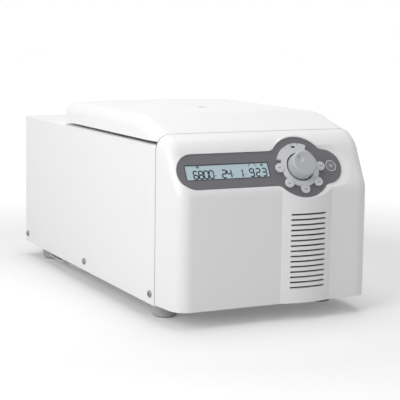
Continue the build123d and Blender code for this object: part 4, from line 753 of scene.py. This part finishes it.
    def start_print(self, shop: Workshop) -> None:
        """Model the ring and the two signs on the start key.

        Args:
            shop: The workshop that finishes pieces.
        """
        ring = self.ring(*self.start_ring, "start_ring")
        bar = self.stroke(*self.start_bar)
        marks = [copied(bar, 0, row * self.start_bar_pitch) for row in (-1, 0, 1)]
        bpy.data.objects.remove(bar)
        piece = joined([ring, *marks], "start_print")
        settle(piece, self.place(*self.start_point, self.start_level))
        shop.dress(piece, Look.PRINT_LIGHT, "start_key_cap")

    def key_prints(self, shop: Workshop) -> None:
        """Model the small dashes on the five keys round the dial.

        Args:
            shop: The workshop that finishes pieces.
        """
        dash = self.stroke(*self.key_dash)
        for index, angle in enumerate(self.key_angles, 1):
            turn = math.radians(angle)
            x = self.dial_point[0] + self.key_print_circle * math.cos(turn)
            y = self.dial_point[1] + self.key_print_circle * math.sin(turn)
            pair = [copied(dash, 0, side * self.key_dash_shift) for side in (-1, 1)]
            piece = joined(pair, f"key_{index}_print")
            settle(piece, self.place(x, y, self.key_level))
            shop.dress(piece, Look.PRINT_GREY, f"key_{index}_cap")
        bpy.data.objects.remove(dash)

    def build(self, shop: Workshop) -> None:
        """Model all that is printed or set on the face.

        Args:
            shop: The workshop that finishes pieces.
        """
        self.recess_shade(shop)
        self.digits(shop)
        self.icons(shop)
        self.start_print(shop)
        self.key_prints(shop)


@dataclass
class SeamBead:
    """Grey bead in the seam between the front cover and what is behind it."""

    proud: float = 0.25 * MM
    depth: float = 0.85 * MM
    slack: float = 0.05 * MM
    merge: float = 0.01 * MM

    def build(self, shop: Workshop) -> None:
        """Model the bead from the back rim of the cover.

        Args:
            shop: The workshop that finishes pieces.
        """
        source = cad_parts["front_cover"]
        low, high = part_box("front_cover")
        deselect()
        piece = source.copy()
        piece.data = source.data.copy()
        piece.parent = None
        piece.matrix_world = Matrix.Identity(4)
        piece.name = "seam_bead"
        bpy.context.collection.objects.link(piece)
        activate(piece)
        bpy.ops.object.mode_set(mode="EDIT")
        bpy.ops.mesh.select_all(action="SELECT")
        bpy.ops.mesh.remove_doubles(threshold=self.merge)
        bpy.ops.mesh.select_mode(type="FACE")
        bpy.ops.mesh.select_all(action="DESELECT")
        bpy.ops.object.mode_set(mode="OBJECT")
        for face in piece.data.polygons:
            spots = [piece.data.vertices[index].co for index in face.vertices]
            face.select = not all(spot.y > high[1] - self.slack for spot in spots)
        bpy.ops.object.mode_set(mode="EDIT")
        bpy.ops.mesh.delete(type="FACE")
        bpy.ops.object.mode_set(mode="OBJECT")
        half = (high[0] - low[0]) / 2
        rise = (high[2] - low[2]) / 2
        middle = (high[2] + low[2]) / 2
        for vertex in piece.data.vertices:
            vertex.co.x *= 1 + self.proud / half
            vertex.co.z = middle + (vertex.co.z - middle) * (1 + self.proud / rise)
            vertex.co.y += self.slack
        bpy.ops.object.mode_set(mode="EDIT")
        bpy.ops.mesh.select_all(action="SELECT")
        bpy.ops.mesh.extrude_region_move(TRANSFORM_OT_translate={"value": (0, self.depth, 0)})
        bpy.ops.mesh.select_all(action="SELECT")
        bpy.ops.mesh.normals_make_consistent(inside=False)
        bpy.ops.object.mode_set(mode="OBJECT")
        shop.dress(piece, Look.SEAM_GREY, "housing")


@dataclass
class Studio:
    """White floor, soft lamps and the camera at the photograph's angle."""

    camera_place: tuple[float, float, float] = (-0.7467, -1.5513, 0.3682)
    yaw: float = 26.525
    pitch: float = -8.367
    roll: float = 0.801
    lens: float = 110.5
    world_light: float = 0.34
    aim: tuple[float, float, float] = (0.0, 0.0, 0.12)
    floor_size: float = 14.0
    floor_tone: float = 0.8
    glow_reach: tuple[float, float] = (0.45, 2.0)
    glow_levels: tuple[float, float] = (0.14, 1.0)

    def camera(self) -> None:
        """Set the camera where the photograph was taken from."""
        yaw, pitch, roll = (math.radians(a) for a in (self.yaw, self.pitch, self.roll))
        ahead = Vector(
            (
                math.sin(yaw) * math.cos(pitch),
                math.cos(yaw) * math.cos(pitch),
                math.sin(pitch),
            )
        )
        side = Vector((math.cos(yaw), -math.sin(yaw), 0.0))
        up = side.cross(ahead)
        right = side * math.cos(roll) + up * math.sin(roll)
        top = up * math.cos(roll) - side * math.sin(roll)
        data = bpy.data.cameras.new("photo_camera")
        data.lens = self.lens
        data.sensor_width = 36.0
        data.clip_start, data.clip_end = 0.05, 50.0
        camera = bpy.data.objects.new("photo_camera", data)
        bpy.context.scene.collection.objects.link(camera)
        turn = Matrix((right, top, -ahead)).transposed().to_4x4()
        camera.matrix_world = Matrix.Translation(self.camera_place) @ turn
        bpy.context.scene.camera = camera

    def lamp(
        self,
        name: str,
        spot: tuple[float, float, float],
        size: float,
        power: float,
    ) -> None:
        """Add a soft lamp that looks at the machine.

        Args:
            name: Name of the lamp.
            spot: Where it hangs, in metres.
            size: Side of its square face, in metres.
            power: Power in watts.
        """
        data = bpy.data.lights.new(name, "AREA")
        data.size = size
        data.energy = power
        lamp = bpy.data.objects.new(name, data)
        bpy.context.scene.collection.objects.link(lamp)
        lamp.location = spot
        aim = Vector(self.aim) - Vector(spot)
        lamp.rotation_euler = aim.to_track_quat("-Z", "Y").to_euler()

    def floor(self) -> None:
        """Add the white floor, which keeps the machine's shadow."""
        deselect()
        bpy.ops.mesh.primitive_plane_add(size=self.floor_size)
        floor = bpy.context.object
        floor.name = "floor"
        material = bpy.data.materials.new("floor")
        material.use_nodes = True
        nodes, links = material.node_tree.nodes, material.node_tree.links
        surface = nodes["Principled BSDF"]
        surface.inputs["Base Color"].default_value = (*[self.floor_tone] * 3, 1.0)
        surface.inputs["Roughness"].default_value = 0.8
        surface.inputs["Specular IOR Level"].default_value = 0.1
        level = nodes.new("ShaderNodeMath")
        level.operation = "MULTIPLY"
        where = nodes.new("ShaderNodeTexCoord")
        reach = nodes.new("ShaderNodeVectorMath")
        reach.operation = "LENGTH"
        fade = nodes.new("ShaderNodeMapRange")
        for end, reach_m, level_seen in zip(("Min", "Max"), self.glow_reach, self.glow_levels):
            fade.inputs[f"From {end}"].default_value = reach_m
            fade.inputs[f"To {end}"].default_value = level_seen
        links.new(where.outputs["Object"], reach.inputs[0])
        links.new(reach.outputs["Value"], fade.inputs["Value"])
        links.new(fade.outputs["Result"], level.inputs[1])
        glow = nodes.new("ShaderNodeEmission")
        both = nodes.new("ShaderNodeAddShader")
        links.new(seen_rays(material.node_tree), level.inputs[0])
        links.new(level.outputs[0], glow.inputs["Strength"])
        links.new(surface.outputs[0], both.inputs[0])
        links.new(glow.outputs[0], both.inputs[1])
        links.new(both.outputs[0], nodes["Material Output"].inputs["Surface"])
        floor.data.materials.append(material)

    def world(self) -> None:
        """Light the room evenly and show it white."""
        world = bpy.data.worlds.new("studio")
        bpy.context.scene.world = world
        world.use_nodes = True
        nodes, links = world.node_tree.nodes, world.node_tree.links
        room = nodes["Background"]
        room.inputs["Color"].default_value = (1.0, 1.0, 1.0, 1.0)
        room.inputs["Strength"].default_value = self.world_light
        shown = nodes.new("ShaderNodeBackground")
        shown.inputs["Strength"].default_value = 1.0
        shown.inputs["Color"].default_value = (1.0, 1.0, 1.0, 1.0)
        mix = nodes.new("ShaderNodeMixShader")
        links.new(seen_rays(world.node_tree), mix.inputs["Fac"])
        links.new(room.outputs[0], mix.inputs[1])
        links.new(shown.outputs[0], mix.inputs[2])
        links.new(mix.outputs[0], nodes["World Output"].inputs["Surface"])

    def build(self) -> None:
        """Set up the whole studio."""
        self.world()
        self.floor()
        self.lamp("key_lamp", (-1.4, -0.68, 0.95), 1.0, 14.0)
        self.lamp("top_lamp", (0.1, 0.3, 2.6), 2.0, 31.0)
        self.lamp("front_lamp", (0.9, -2.8, 1.5), 1.2, 0.8)
        self.camera()
        bpy.context.scene.view_settings.view_transform = "Standard"
        log.info("studio is set")


def main() -> None:
    """Dress the model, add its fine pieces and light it."""
    logging.basicConfig(level=logging.INFO, format="%(message)s")
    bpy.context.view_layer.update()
    shop = Workshop()
    shop.dress_nodes()
    ControlFace().build(shop)
    SeamBead().build(shop)
    Studio().build()


if __name__ == "__main__":
    main()
